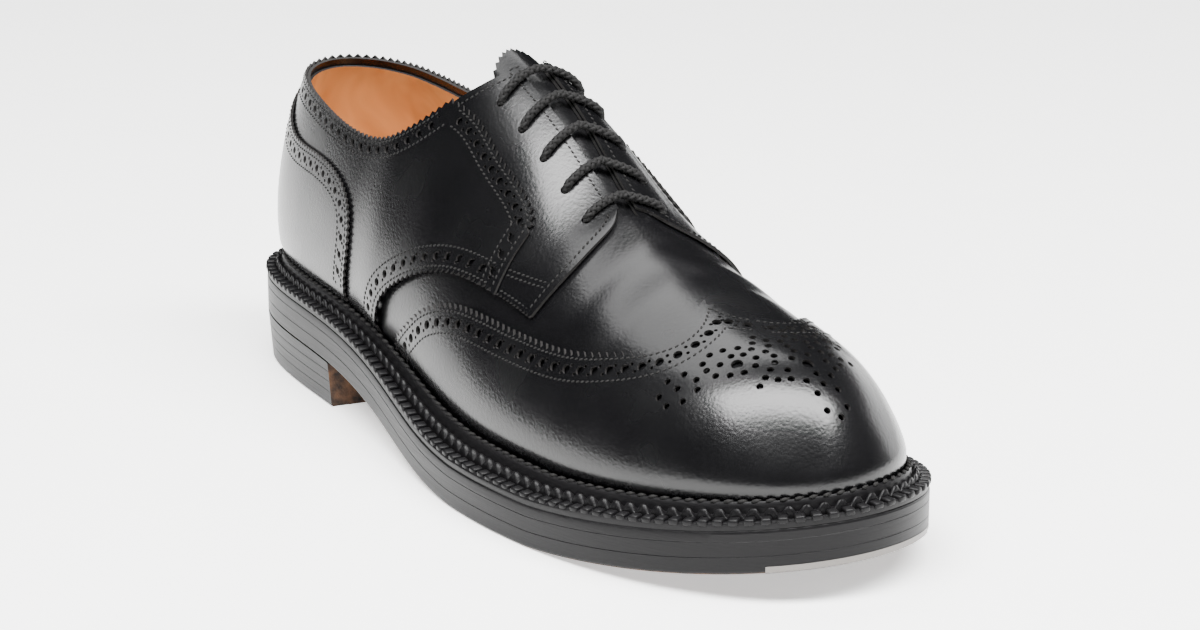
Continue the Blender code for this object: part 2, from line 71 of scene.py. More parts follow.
# %% Sizes and sections of the last
GAP = 0.3
OUTSOLE, LOWER_MIDSOLE, UPPER_MIDSOLE, INSOLE = 5.1, 4.5, 3.2, 3.0
STACK = OUTSOLE + LOWER_MIDSOLE + UPPER_MIDSOLE
SECTIONS = (
    # name, sole x, sole y, margin, ridge x, fullness, swell
    ("heel_back", 3.5, 0.0, 9.0, 76.0, 3.0, 3.5),
    ("heel_out_back", 13.0, -22.8, 9.3, 78.0, 2.6, 4.2),
    ("heel_out", 38.0, -34.4, 9.3, 84.0, 2.12, 5.0),
    ("breast_out", 82.0, -40.2, 9.5, 100.0, 2.0, 4.6),
    ("waist_out", 124.0, -45.5, 11.0, 130.0, 1.8, 3.4),
    ("joint_out", 162.0, -52.5, 13.0, 162.0, 1.62, 2.8),
    ("ball_out", 200.0, -56.0, 14.5, 196.0, 1.85, 2.6),
    ("toe_out_back", 240.0, -52.0, 14.0, 230.0, 2.25, 2.6),
    ("toe_out", 274.0, -41.0, 12.5, 253.0, 2.5, 2.8),
    ("toe_out_tip", 301.5, -21.0, 11.0, 269.0, 2.75, 3.0),
    ("toe_tip", 311.0, 4.0, 10.5, 275.0, 2.9, 3.0),
    ("toe_in_tip", 303.5, 29.5, 10.5, 269.0, 2.95, 3.0),
    ("toe_in", 282.0, 46.5, 11.0, 253.0, 2.85, 3.0),
    ("ball_in_fore", 250.0, 55.0, 11.5, 230.0, 2.6, 2.8),
    ("ball_in", 220.0, 57.0, 12.0, 200.0, 2.45, 2.6),
    ("ball_in_back", 190.0, 51.5, 11.5, 174.0, 2.55, 2.2),
    ("joint_in", 160.0, 41.5, 10.5, 150.0, 2.6, 1.8),
    ("waist_in", 125.0, 34.0, 9.5, 124.0, 2.5, 1.8),
    ("breast_in", 84.0, 34.0, 8.5, 100.0, 2.4, 2.4),
    ("heel_in", 40.0, 35.2, 9.3, 84.0, 2.2, 3.8),
    ("heel_in_back", 13.0, 23.2, 9.3, 78.0, 2.6, 3.8),
)
MARGIN, RIDGE_X, FULLNESS, SWELL = 2, 3, 4, 5
# Underside of the outsole: x, height
UNDERSIDE = ((0, 16.3), (45, 16.0), (86, 15.0), (112, 11.8), (140, 6.0), (165, 1.6),
             (185, 0.0), (226, 0.0), (255, 2.6), (282, 6.2), (312, 11.5))
# Ridge of the last: x, height, offset to the inside
RIDGE = ((60, 134.0, 0.0), (78, 133.5, 1.0), (100, 131.0, 2.0), (122, 125.5, 3.0),
         (143, 116.5, 3.9), (165, 103.0, 4.7), (188, 85.0, 5.2), (212, 74.5, 5.7),
         (235, 68.0, 6.0), (255, 63.5, 5.9), (274, 60.0, 5.5), (300, 48.0, 4.5))
# Collar line: x, height on the outside, height on the inside
COLLAR = ((-6, 101.0, 101.0), (6, 100.5, 101.0), (20, 98.5, 100.0), (40, 95.0, 98.0),
          (62, 91.5, 95.5), (84, 89.5, 94.0), (102, 91.5, 95.5), (118, 100.0, 102.0),
          (130, 110.0, 111.0), (142, 120.0, 120.0))
COLLAR_MEET = 0.14        # station from which the two sides have collars of their own
THROAT_X, SLOT_TOP_X, SLOT_FRONT, SLOT_TOP = 192.0, 132.0, 2.6, 4.6


def spline(knots, values, closed=False):
    """Cubic curve through values at knots, natural at its ends or closed on itself."""
    knots, values = np.asarray(knots, float), np.asarray(values, float)
    count, step = len(knots), np.diff(knots)
    slope = np.diff(values, axis=0) / step[:, None]
    matrix, right = np.zeros((count, count)), np.zeros_like(values)
    for i in range(1, count - 1):
        matrix[i, i - 1:i + 2] = step[i - 1], 2 * (step[i - 1] + step[i]), step[i]
        right[i] = 6 * (slope[i] - slope[i - 1])
    matrix[0, 0] = matrix[-1, -1] = 1
    if closed:
        matrix[0, -1] = -1
        matrix[-1, :2] = 2 * step[0], step[0]
        matrix[-1, -2:] = step[-1], 2 * step[-1]
        right[-1] = 6 * (slope[0] - slope[-1])
    bend = np.linalg.solve(matrix, right)

    def at(x):
        x = np.asarray(x, float)
        k = np.clip(np.searchsorted(knots, x) - 1, 0, count - 2)
        h = step[k][..., None]
        a, b = (knots[k + 1] - x)[..., None] / h, (x - knots[k])[..., None] / h
        cubic = ((a ** 3 - a) * bend[k] + (b ** 3 - b) * bend[k + 1]) * h ** 2 / 6
        return a * values[k] + b * values[k + 1] + cubic
    return at


def profile(table, column=1):
    """Height along x from a table, going on straight past its ends."""
    table = np.asarray(table, float)
    first, last = table[0, 0], table[-1, 0]
    curve = spline(table[:, 0], table[:, column:column + 1])
    reach = 0.5
    start = (curve(first + reach)[..., 0] - table[0, column]) / reach
    end = (table[-1, column] - curve(last - reach)[..., 0]) / reach

    def at(x):
        x = np.asarray(x, float)
        middle = curve(np.clip(x, first, last))[..., 0]
        return middle + start * np.minimum(x - first, 0) + end * np.maximum(x - last, 0)
    return at


underside_curve, ridge_height, ridge_side = profile(UNDERSIDE), profile(RIDGE, 1), profile(RIDGE, 2)
collar_out, collar_in = profile(COLLAR, 1), profile(COLLAR, 2)
section_rows = np.array([row[1:] for row in SECTIONS])
ring_rows = np.vstack([section_rows, section_rows[:1]])
ring_steps = np.linalg.norm(np.diff(ring_rows[:, :2], axis=0), axis=1) ** 0.5
ring_knots = np.concatenate([[0.0], np.cumsum(ring_steps)]) / ring_steps.sum()
section = spline(ring_knots, ring_rows, closed=True)
TOE_U = ring_knots[[row[0] for row in SECTIONS].index("toe_tip")]
print("last:", len(SECTIONS), "sections, toe at", round(float(TOE_U), 3), "of the way round")

# %% [markdown]
# ## Points on the last
# A place on the upper has two numbers. The station runs from the heel's back (0) to the toe (1), and the
# rise climbs from the sole (0) to the ridge (1). Both sides of the foot share them, which is how a pattern
# cutter uses one pattern for both quarters. The functions below turn such a pair into a point, find the way
# out of the leather there, and know where the collar and the lace slot cut the surface off.

# %% The surface of the last


def underside(x):
    return np.maximum(underside_curve(x), 0.0)


def seat(x):
    return underside(x) + STACK


def sole_edge(u, inset=0.0):
    """Point of the sole's outline at u (0 to 1 around it), moved inwards by inset."""
    u = np.asarray(u, float)
    reach = 1e-4
    along = section((u + reach) % 1)[..., :2] - section((u - reach) % 1)[..., :2]
    along /= np.linalg.norm(along, axis=-1, keepdims=True)
    inwards = np.stack([-along[..., 1], along[..., 0]], -1)
    return section(u % 1)[..., :2] + inwards * np.asarray(inset, float)[..., None]


def last_point(u, v):
    """Outside of the upper: u runs around the shoe, v climbs from the sole to the ridge."""
    u, v = np.broadcast_arrays(np.asarray(u, float), np.asarray(v, float))
    row = section(u % 1)
    foot = sole_edge(u, row[..., MARGIN])
    top = np.stack([row[..., RIDGE_X], ridge_side(row[..., RIDGE_X])], -1)
    power = 2 / row[..., FULLNESS]
    out, rise = np.cos(v * np.pi / 2) ** power, np.sin(v * np.pi / 2) ** power
    swell = row[..., SWELL] * 256 / 27 * rise * (1 - rise) ** 3      # fullest at a quarter of the height
    out = out * (1 + swell / np.linalg.norm(foot - top, axis=-1))
    plan = top + (foot - top) * out[..., None]
    low = seat(plan[..., 0]) + GAP
    height = low + (ridge_height(plan[..., 0]) - low) * rise
    return np.concatenate([plan, height[..., None]], -1)


def unit(vectors):
    return vectors / np.maximum(np.linalg.norm(vectors, axis=-1, keepdims=True), 1e-12)


def last_normal(u, v):
    """Way out of the upper's surface, straight up across the ridge."""
    u, v = np.broadcast_arrays(np.asarray(u, float), np.asarray(v, float))
    reach = 1e-3
    around = last_point(u + reach, v) - last_point(u - reach, v)
    up = last_point(u, np.minimum(v + reach, 1)) - last_point(u, np.maximum(v - reach, 0))
    x = section(u % 1)[..., RIDGE_X]
    fall = (ridge_height(x + 1) - ridge_height(x - 1)) / 2
    crest = unit(np.stack([-fall, np.zeros_like(fall), np.ones_like(fall)], -1))
    return np.where((v > 1 - reach / 2)[..., None], crest, unit(np.cross(around, up)))


def solve(test, low, high, shape=()):
    """Where test changes from true to false between low and high."""
    low, high = np.full(shape, low, float), np.full(shape, high, float)
    for _ in range(40):
        middle = (low + high) / 2
        ahead = test(middle)
        low, high = np.where(ahead, middle, low), np.where(ahead, high, middle)
    return (low + high) / 2


STATIONS = np.linspace(0, 1, 2001)
station_ridge = section(STATIONS * TOE_U)[:, RIDGE_X]
inner_places = solve(lambda u: section(u)[..., RIDGE_X] > station_ridge, TOE_U, 1.0, station_ridge.shape)
HEEL_PART, TOE_PART = 160, 80        # the last stations at each end are shared out evenly
inner_places[:HEEL_PART] = np.linspace(1.0, inner_places[HEEL_PART], HEEL_PART)
inner_places[-TOE_PART:] = np.linspace(inner_places[-TOE_PART], TOE_U, TOE_PART)
OUTER, INNER = "outer", "inner"
TURN = {OUTER: 1.0, INNER: -1.0}


def place(station, side):
    """Place around the shoe of a station on one side."""
    station = np.clip(station, 0, 1)
    return station * TOE_U if side == OUTER else np.interp(station, STATIONS, inner_places)


def skin(line, side, lift=0.0):
    """Points of the upper's surface for (station, rise) pairs, lifted off it."""
    u, v = place(line[..., 0], side), np.clip(line[..., 1], 0, 1)
    return last_point(u, v) + last_normal(u, v) * np.asarray(lift, float)[..., None]


def skin_normal(line, side):
    return last_normal(place(line[..., 0], side), np.clip(line[..., 1], 0, 1))


def station_at(ridge_x):
    return np.interp(ridge_x, station_ridge, STATIONS)


def rise_at_distance(station, side, distance):
    """Rise of the point that lies this far from the ridge, seen from above."""
    u = place(station, side)
    x = section(u % 1)[..., RIDGE_X]

    def farther(v):
        point = last_point(u, v)
        return np.hypot(point[..., 0] - x, point[..., 1] - ridge_side(x)) > distance
    return solve(farther, 0.0, 1.0, np.shape(u))


def top_rise(station, side):
    """Rise of the upper's top edge: the collar, the slot's edge or the closed ridge."""
    station = np.asarray(station, float)
    u = place(station, side)
    own = np.clip(station / COLLAR_MEET, 0, 1) * (0.5 if side == INNER else -0.5) + 0.5

    def below(v):
        point = last_point(u, v)
        x = point[..., 0]
        return point[..., 2] < collar_out(x) + (collar_in(x) - collar_out(x)) * own
    line = solve(below, 0.0, 1.0, station.shape)
    x = section(u % 1)[..., RIDGE_X]
    share = np.clip((THROAT_X - x) / (THROAT_X - SLOT_TOP_X), 0, 1)
    half = SLOT_FRONT + (SLOT_TOP - SLOT_FRONT) * share
    slot = np.where(x < THROAT_X, rise_at_distance(station, side, half), 1.0)
    rise = np.minimum(line, slot)
    return np.where(rise > 1 - 1e-6, 1.0, rise)


def foot_line(side, first, last, height, count=120):
    """Line of stations and rises at a height above the sole."""
    stations = np.linspace(first, last, count)
    u = place(stations, side)

    def lower(v):
        point = last_point(u, v)
        return point[..., 2] < seat(point[..., 0]) + height
    return np.column_stack([stations, solve(lower, 0.0, 0.5, u.shape)])


outline = sole_edge(np.linspace(0, 1, 2001))
FRAME_ORIGIN = np.append((outline.min(0) + outline.max(0)) / 2, 0.0)


def to_frame(points):
    """Points of the tables, in millimetres, as points of the frame in metres."""
    return (np.asarray(points) - FRAME_ORIGIN) * MM


print("sole:", (outline.max(0) - outline.min(0)).round(1), "mm, collar back at",
      skin(np.array([0.0, top_rise(0.0, OUTER)]), OUTER).round(1))

# %% [markdown]
# ## Camera
# The camera stands where the photograph was taken from: in front, on the outside of the foot and a little
# above it, with a long lens. It could be set by eye, but its place was worked out from the sole's outline,
# so that other outlines can be compared. It is turned to bring the shoe to the middle of the picture.

# %% Camera
PHOTO_WIDTH, PHOTO_HEIGHT, PHOTO_FOCAL = 1200, 630, 3147.7    # pixels
SHOE_ACROSS, SHOE_DOWN = 453, 351                             # middle of the shoe in the photograph, pixels
CAMERA_AT = np.array([944.7, -503.0, 327.2])                  # millimetres
PHOTO_MIDDLE_AT = np.array([151.2, 78.9, 40.0])               # what the middle of the photograph shows

ahead = unit(PHOTO_MIDDLE_AT - CAMERA_AT)
right = unit(np.cross(ahead, (0, 0, 1)))
shoe_right = (SHOE_ACROSS - PHOTO_WIDTH / 2) / PHOTO_FOCAL
shoe_up = (PHOTO_HEIGHT / 2 - SHOE_DOWN) / PHOTO_FOCAL
aim = ahead + right * shoe_right + np.cross(right, ahead) * shoe_up
camera = bpy.data.objects.new("camera", bpy.data.cameras.new("camera"))
camera.data.sensor_fit = "HORIZONTAL"
camera.data.lens = camera.data.sensor_width * PHOTO_FOCAL / PHOTO_WIDTH
camera.location = to_frame(CAMERA_AT)
camera.rotation_euler = Vector(aim).to_track_quat("-Z", "Y").to_euler()
bpy.context.scene.collection.objects.link(camera)
bpy.context.scene.camera = camera
print("camera:", [round(x, 3) for x in camera.location], "lens", round(camera.data.lens, 1), "mm")

# %% [markdown]
# ## Materials
# Each material starts from what the real stuff is. One function turns a hex colour to linear light, one
# adds a node with its settings and links, and two open a new material, plain or between two colours.
# Patterns read Object coordinates, which are metres here, so a pattern of a given size has the scale of one
# over that size.

# %% Small tools for materials


def colour(code):
    """An sRGB hex value as linear colour."""
    parts = [int(code[k:k + 2], 16) / 255 for k in (1, 3, 5)]
    return [p / 12.92 if p <= 0.04045 else ((p + 0.055) / 1.055) ** 2.4 for p in parts] + [1.0]


def add_node(tree, kind, sockets=(), **settings):
    """Add a node: settings are its options, sockets its input values or links."""
    made = tree.nodes.new(kind)
    for name, value in settings.items():
        setattr(made, name, value)
    for name, value in dict(sockets).items():
        if isinstance(value, bpy.types.NodeSocket):
            tree.links.new(value, made.inputs[name])
        else:
            made.inputs[name].default_value = value
    return made


def new_material(name, **shader_values):
    """A material with its Principled shader's constant values set, and its Object coordinates."""
    material = bpy.data.materials.new(name)
    material.use_nodes = True
    tree = material.node_tree
    shader = tree.nodes["Principled BSDF"]
    for socket, value in shader_values.items():
        shader.inputs[socket.replace("_", " ").title().replace("Ior", "IOR")].default_value = value
    return material, tree, shader, add_node(tree, "ShaderNodeTexCoord").outputs["Object"]


def per_metre(millimetres):
    return 1 / (millimetres * MM)


def two_tone(name, size, detail, dark, light, **shader_values):
    """A material whose colour wanders between two, in patches of a size in millimetres."""
    material, tree, shader, where = new_material(name, **shader_values)
    noise = add_node(tree, "ShaderNodeTexNoise", {"Vector": where, "Scale": per_metre(size), "Detail": detail})
    tint = add_node(tree, "ShaderNodeMix", {"Factor": noise.outputs["Fac"], 6: colour(dark), 7: colour(light)},
                    data_type="RGBA")
    tree.links.new(tint.outputs[2], shader.inputs["Base Color"])
    return material, tree, shader, noise


print("material tools ready")

# %% [markdown]
# ### Polished calf
# Box calf is smooth, dyed through and burnished with wax. The eye sees a deep black, a broad soft
# highlight, and in that highlight the fine grain of the hair side. The grain is drawn about 1 mm wide, a
# little coarser than it is, so that it still shows from where the camera stands.

# %% Polished black calf


def polished_calf(name, rough_low, rough_high):
    material, tree, shader, where = new_material(name, coat_weight=0.1, coat_roughness=0.16, ior=1.41)
    polish = add_node(tree, "ShaderNodeTexNoise", {"Vector": where, "Scale": per_metre(22), "Detail": 2.0})
    grain = add_node(tree, "ShaderNodeTexVoronoi", {"Vector": where, "Scale": per_metre(1.0)},
                     feature="SMOOTH_F1")
    pores = add_node(tree, "ShaderNodeTexNoise", {"Vector": where, "Scale": per_metre(0.7), "Detail": 3.0})
    rough = add_node(tree, "ShaderNodeMapRange", {"Value": polish.outputs["Fac"], "From Min": 0.1,
                                                  "From Max": 0.9, "To Min": rough_low, "To Max": rough_high})
    tint = add_node(tree, "ShaderNodeMix", {"Factor": polish.outputs["Fac"], 6: colour("#050506"),
                                            7: colour("#0A0A0B")}, data_type="RGBA")
    fine = add_node(tree, "ShaderNodeBump", {"Height": pores.outputs["Fac"], "Strength": 0.3,
                                             "Distance": 0.12 * MM})
    bump = add_node(tree, "ShaderNodeBump", {"Height": grain.outputs["Distance"], "Strength": 0.3,
                                             "Distance": 0.12 * MM, "Normal": fine.outputs["Normal"]})
    tree.links.new(tint.outputs[2], shader.inputs["Base Color"])
    tree.links.new(rough.outputs["Result"], shader.inputs["Roughness"])
    tree.links.new(bump.outputs["Normal"], shader.inputs["Normal"])
    return material


calf = polished_calf("polished_black_calf", 0.2, 0.32)

# The cut edge shows the fibres of the dyed leather: dull, a shade lighter than the polished face.
cut_edge = two_tone("dyed_cut_calf_edge", 0.5, 3.0, "#0C0C0C", "#282625", roughness=0.8, ior=1.35)[0]
print("calf:", len(calf.node_tree.nodes), "nodes, its edge:", len(cut_edge.node_tree.nodes))

# %% [markdown]
# ### Thread and lace
# Waxed linen thread is a dull black that catches a little light. The lace is waxed cotton, a shade darker,
# with a fuzz of fibres. Their twist could be modelled, but at this size a fine noise shows as much of it.

# %% Waxed thread and cotton lace
thread = two_tone("waxed_linen_thread", 0.6, 2.0, "#060606", "#1C1B1A", roughness=0.75, ior=1.3)[0]
cotton, tree, shader, fibre = two_tone("waxed_cotton_braid", 0.35, 3.0, "#040404", "#161515", roughness=0.7,
                                       ior=1.3)
fuzz = add_node(tree, "ShaderNodeBump", {"Height": fibre.outputs["Fac"], "Strength": 0.5, "Distance": 0.2 * MM})
tree.links.new(fuzz.outputs["Normal"], shader.inputs["Normal"])
print("thread and lace ready")

# %% [markdown]
# ### Lining
# The lining is vegetable-tanned calf, warm tan with cloudy darker places. The clouds are a slow noise between
# two tans, with a ramp that keeps their edges soft, and the pores are a fine bump.

# %% Tan lining leather
lining_tan, tree, shader, where = new_material("tan_lining_calf", roughness=0.55, ior=1.45)
cloud = add_node(tree, "ShaderNodeTexNoise", {"Vector": where, "Scale": per_metre(26), "Detail": 3.0,
                                              "Distortion": 0.6})
ramp = add_node(tree, "ShaderNodeValToRGB", {"Fac": cloud.outputs["Fac"]})
ramp.color_ramp.elements[0].position, ramp.color_ramp.elements[1].position = 0.32, 0.68
ramp.color_ramp.elements[0].color = colour("#9C5C2A")
ramp.color_ramp.elements[1].color = colour("#D8985A")
pores = add_node(tree, "ShaderNodeTexNoise", {"Vector": where, "Scale": per_metre(0.8), "Detail": 3.0})
bump = add_node(tree, "ShaderNodeBump", {"Height": pores.outputs["Fac"], "Strength": 0.25,
                                         "Distance": 0.15 * MM})
tree.links.new(ramp.outputs["Color"], shader.inputs["Base Color"])
tree.links.new(bump.outputs["Normal"], shader.inputs["Normal"])
print("lining ready")

# %% [markdown]
# ### Edges, sole and plate
# The edges of the sole are dyed, waxed and ironed, so the fibres run along them as fine lines. The underside
# is bare oak-bark leather, and the plate is ground steel. Edges and steel share a noise that is drawn out
# along the shoe, because both are worked in that direction.

# %% Waxed edge, bare sole leather and ground steel


def striped(where, tree, along, across):
    """Noise in level stripes, with their length and their height in millimetres."""
    scale = (per_metre(along), per_metre(along), per_metre(across))
    stretch = add_node(tree, "ShaderNodeMapping", {"Vector": where, "Scale": scale})
    return add_node(tree, "ShaderNodeTexNoise", {"Vector": stretch.outputs["Vector"], "Scale": 1.0,
                                                 "Detail": 4.0})


edge_wax, tree, shader, where = new_material("waxed_black_edge", ior=1.23)
fibres = striped(where, tree, 30, 0.5)
nicks = striped(where, tree, 2.2, 6)
tint = add_node(tree, "ShaderNodeMix", {"Factor": fibres.outputs["Fac"], 6: colour("#070708"),
                                        7: colour("#131213")}, data_type="RGBA")
rough = add_node(tree, "ShaderNodeMapRange", {"Value": fibres.outputs["Fac"], "To Min": 0.3, "To Max": 0.5})
low = add_node(tree, "ShaderNodeBump", {"Height": nicks.outputs["Fac"], "Strength": 0.25, "Distance": 0.1 * MM})
bump = add_node(tree, "ShaderNodeBump", {"Height": fibres.outputs["Fac"], "Strength": 0.4,
                                         "Distance": 0.12 * MM, "Normal": low.outputs["Normal"]})
tree.links.new(tint.outputs[2], shader.inputs["Base Color"])
tree.links.new(rough.outputs["Result"], shader.inputs["Roughness"])
tree.links.new(bump.outputs["Normal"], shader.inputs["Normal"])

sole_bare, tree, shader, where = new_material("bare_sole_leather", roughness=0.8, ior=1.45)
blotch = add_node(tree, "ShaderNodeTexNoise", {"Vector": where, "Scale": per_metre(3.5), "Detail": 6.0})
ramp = add_node(tree, "ShaderNodeValToRGB", {"Fac": blotch.outputs["Fac"]})
ramp.color_ramp.elements[0].position, ramp.color_ramp.elements[1].position = 0.34, 0.74
ramp.color_ramp.elements[0].color = colour("#1A110B")
ramp.color_ramp.elements[1].color = colour("#593C27")
fuzz = add_node(tree, "ShaderNodeTexNoise", {"Vector": where, "Scale": per_metre(0.7), "Detail": 4.0})
bump = add_node(tree, "ShaderNodeBump", {"Height": fuzz.outputs["Fac"], "Strength": 0.6, "Distance": 0.3 * MM})
tree.links.new(ramp.outputs["Color"], shader.inputs["Base Color"])
tree.links.new(bump.outputs["Normal"], shader.inputs["Normal"])

steel, tree, shader, where = new_material("ground_steel", metallic=1.0)
shader.inputs["Base Color"].default_value = colour("#6A6764")
grind = striped(where, tree, 14, 0.25)
rough = add_node(tree, "ShaderNodeMapRange", {"Value": grind.outputs["Fac"], "To Min": 0.25, "To Max": 0.5})
bump = add_node(tree, "ShaderNodeBump", {"Height": grind.outputs["Fac"], "Strength": 0.25,
                                         "Distance": 0.05 * MM})
tree.links.new(rough.outputs["Result"], shader.inputs["Roughness"])
tree.links.new(bump.outputs["Normal"], shader.inputs["Normal"])
print("materials:", len(bpy.data.materials))

# %% [markdown]
# ## Tools for leather
# The outline of a panel is drawn as lines of (station, rise) pairs. They could be drawn in space, but then
# they would leave the last. Many of their points were picked in the photograph and traced back through
# the camera to the last. A line can be measured, moved sideways over the leather, and pinked: every second
# point is cut back, which gives the saw teeth of pinking shears.

# %% Lines on the last


def lengths(line, side):
    """Running length along a line, in millimetres."""
    steps = np.linalg.norm(np.diff(skin(line, side), axis=0), axis=1)
    return np.concatenate([[0], np.cumsum(steps)])


def sample(line, side, marks):
    """Points of a line at the given running lengths."""
    length = lengths(line, side)
    return np.column_stack([np.interp(marks, length, line[:, k]) for k in (0, 1)])


def even(line, side, count):
    return sample(line, side, np.linspace(0, lengths(line, side)[-1], count))


def smooth_line(table, side, count=300):
    """Evenly spaced points on a smooth curve through a short table of (station, rise) rows."""
    table = np.asarray(table, float)
    steps = np.linalg.norm(np.diff(skin(table, side), axis=0), axis=1) ** 0.5
    knots = np.concatenate([[0], np.cumsum(steps)])
    fine = spline(knots, table)(np.linspace(0, knots[-1], 40 * len(table)))
    return even(np.clip(fine, 0, 1), side, count)


def shift_line(line, side, distance, steps=5):
    """A line moved over the surface by a distance, to the left of its direction (up for a line to the toe)."""
    line = np.array(line, float)
    reach = 1e-3
    for _ in range(steps):
        s, v = line[:, 0], line[:, 1]
        along = unit(np.gradient(skin(line, side), axis=0))
        left = TURN[side] * np.cross(skin_normal(line, side), along) * distance / steps
        back_s, ahead_s = np.clip(s - reach, 0, 1), np.clip(s + reach, 0, 1)
        back_v, ahead_v = np.clip(v - reach, 0, 1), np.clip(v + reach, 0, 1)
        by_s = skin(np.column_stack([ahead_s, v]), side) - skin(np.column_stack([back_s, v]), side)
        by_v = skin(np.column_stack([s, ahead_v]), side) - skin(np.column_stack([s, back_v]), side)
        by_s /= (ahead_s - back_s)[:, None]
        by_v /= (ahead_v - back_v)[:, None]
        ss, sv, vv = (by_s * by_s).sum(1), (by_s * by_v).sum(1), (by_v * by_v).sum(1)
        ls, lv = (by_s * left).sum(1), (by_v * left).sum(1)
        whole = np.maximum(ss * vv - sv * sv, 1e-9)
        move = np.column_stack([(ls * vv - lv * sv) / whole, (lv * ss - ls * sv) / whole])
        line = np.clip(line + move, 0, 1)
    return line


def pinked(line, side, depth):
    """A saw-toothed edge: every second point cut back to the right of the line's direction."""
    cut = shift_line(line, side, -depth)
    return np.where((np.arange(len(line)) % 2 == 1)[:, None], cut, line)


def ruled(low, high, side, rows):
    """Grid of (station, rise) between two edges, with even steps up each column."""
    share = np.linspace(0, 1, 3 * rows + 1)
    grid = low[:, None] + (high - low)[:, None] * share[None, :, None]
    steps = np.linalg.norm(np.diff(skin(grid, side), axis=1), axis=-1)
    length = np.concatenate([np.zeros((len(low), 1)), np.cumsum(steps, 1)], 1)
    marks = np.linspace(0, 1, rows + 1)
    even_share = np.array([np.interp(marks * run[-1], run, share) if run[-1] > 1e-6 else marks
                           for run in length])
    return low[:, None] + (high - low)[:, None] * even_share[..., None]


print("line tools ready")

# %% [markdown]
# A panel is cut flat and then pulled over the last. The same is done here: `create_grid` makes the flat
# piece, its corners are moved to places on the last, and an extrusion of the whole sheet gives the leather
# its thickness. An overlay is skived thin at the bottom, so that it goes in behind the welt.

# %% Meshes from grids
SHARP = 40.0                                         # degrees from which an edge is drawn sharp
SKIVED, SKIVE_FROM, SKIVE_REACH = 0.15, 4.0, 8.0     # lift at the welt, and where it grows to the full one
OVERLAY_FOOT = 3.0                                   # height above the sole at which overlays end


def grid_mesh(points, bm=None):
    """A create_grid mesh with its corners moved to points (columns by rows), in a new or given bmesh."""
    bm = bm or bmesh.new()
    columns, rows = points.shape[:2]
    spot = bm.verts.layers.int.get("spot") or bm.verts.layers.int.new("spot")
    made = bmesh.ops.create_grid(bm, x_segments=columns - 1, y_segments=rows - 1, size=0.5)["verts"]
    placed = to_frame(points)
    for vert in made:
        c, r = round((vert.co.x + 0.5) * (columns - 1)), round((vert.co.y + 0.5) * (rows - 1))
        vert.co = placed[c, r]
        vert[spot] = c * rows + r
    return bm


def thick_mesh(outer, inner):
    """A closed sheet: the outer grid, extruded as a whole onto the inner one. Its cut edge has material 1."""
    bm = grid_mesh(outer)
    bmesh.ops.remove_doubles(bm, verts=bm.verts, dist=1e-6)
    spot = bm.verts.layers.int["spot"]
    placed = to_frame(inner).reshape(-1, 3)
    sheet = set(bm.faces)
    made = bmesh.ops.extrude_face_region(bm, geom=bm.faces[:], use_keep_orig=True)["geom"]
    for face in set(bm.faces) - sheet - set(made):
        face.material_index = 1
    for vert in made:
        if isinstance(vert, bmesh.types.BMVert):
            vert.co = placed[vert[spot]]
    bmesh.ops.recalc_face_normals(bm, faces=bm.faces)
    return bm


def add_piece(name, bm, materials, nodes=(), sharp=SHARP):
    """Turn a bmesh into a finished piece that rides on the frame."""
    mesh = bpy.data.meshes.new(name)
    bm.to_mesh(mesh)
    bm.free()
    for material in materials:
        mesh.materials.append(material)
    mesh.shade_smooth()
    mesh.set_sharp_from_angle(angle=np.radians(sharp))
    piece = bpy.data.objects.new(name, mesh)
    bpy.context.scene.collection.objects.link(piece)
    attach(piece, "root")
    if nodes:
        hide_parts(*nodes)
    print(name, len(mesh.polygons), "faces")
    return piece


def leather_shell(sides, lift, thickness):
    """Leather over the last from (side, grid) pairs whose columns follow each other."""
    outer, inner = (np.concatenate([skin(grid, side, lift(grid, side) - drop) for side, grid in sides])
                    for drop in (0.0, thickness))
    return thick_mesh(outer, inner)


def height_above_sole(grid, side):
    point = skin(grid, side)
    return point[..., 2] - seat(point[..., 0])


def grow(value, start, reach, low, full):
    """Go smoothly from low to full while value climbs from start by reach."""
    share = np.clip((value - start) / reach, 0, 1)
    return low + (full - low) * share * share * (3 - 2 * share)


def skived(full, grid, side):
    """Lift of an overlay that is skived thin where it is pulled down behind the welt."""
    return grow(height_above_sole(grid, side), SKIVE_FROM, SKIVE_REACH, SKIVED, full)


def lasted(full):
    return lambda grid, side: skived(full, grid, side)


print("leather tools ready")

# %% [markdown]
# ## Holes and stitches
# Brogueing is a row of large punched holes with a pair of small ones between each two, and a line of
# stitches on either side. The holes are real: a small cylinder stands on the last at each of them, and one
# Boolean cuts them all. Each stitch is a stretched icosphere. Thousands of them are joined in one mesh, from
# one base shape and an array of places.

# %% Places along a line and copies of a base shape
STITCH_PITCH = 1.9
BIG_HOLE, SMALL_HOLE, HOLE_PITCH, PAIR_HALF = 2.9, 1.15, 5.6, 1.25
DRILL_SIDES, DRILL_DEPTH = 14, 2.6
ROW_SLACK = 0.35        # how much nearer than meant a moved row may come to its edge


def stand(line, side, lift, pitch, start=0.0, end=0.0, phase=0.5):
    """Places at equal steps along a line: points, directions along it and ways out of the leather."""
    total = lengths(line, side)[-1]
    marks = np.arange(start + phase * pitch, total - end, pitch)
    reach = 0.2
    at, before, after = (sample(line, side, np.clip(marks + d, 0, total)) for d in (0, -reach, reach))
    ahead = unit(skin(after, side) - skin(before, side))
    return skin(at, side, lift(at, side)), ahead, skin_normal(at, side)


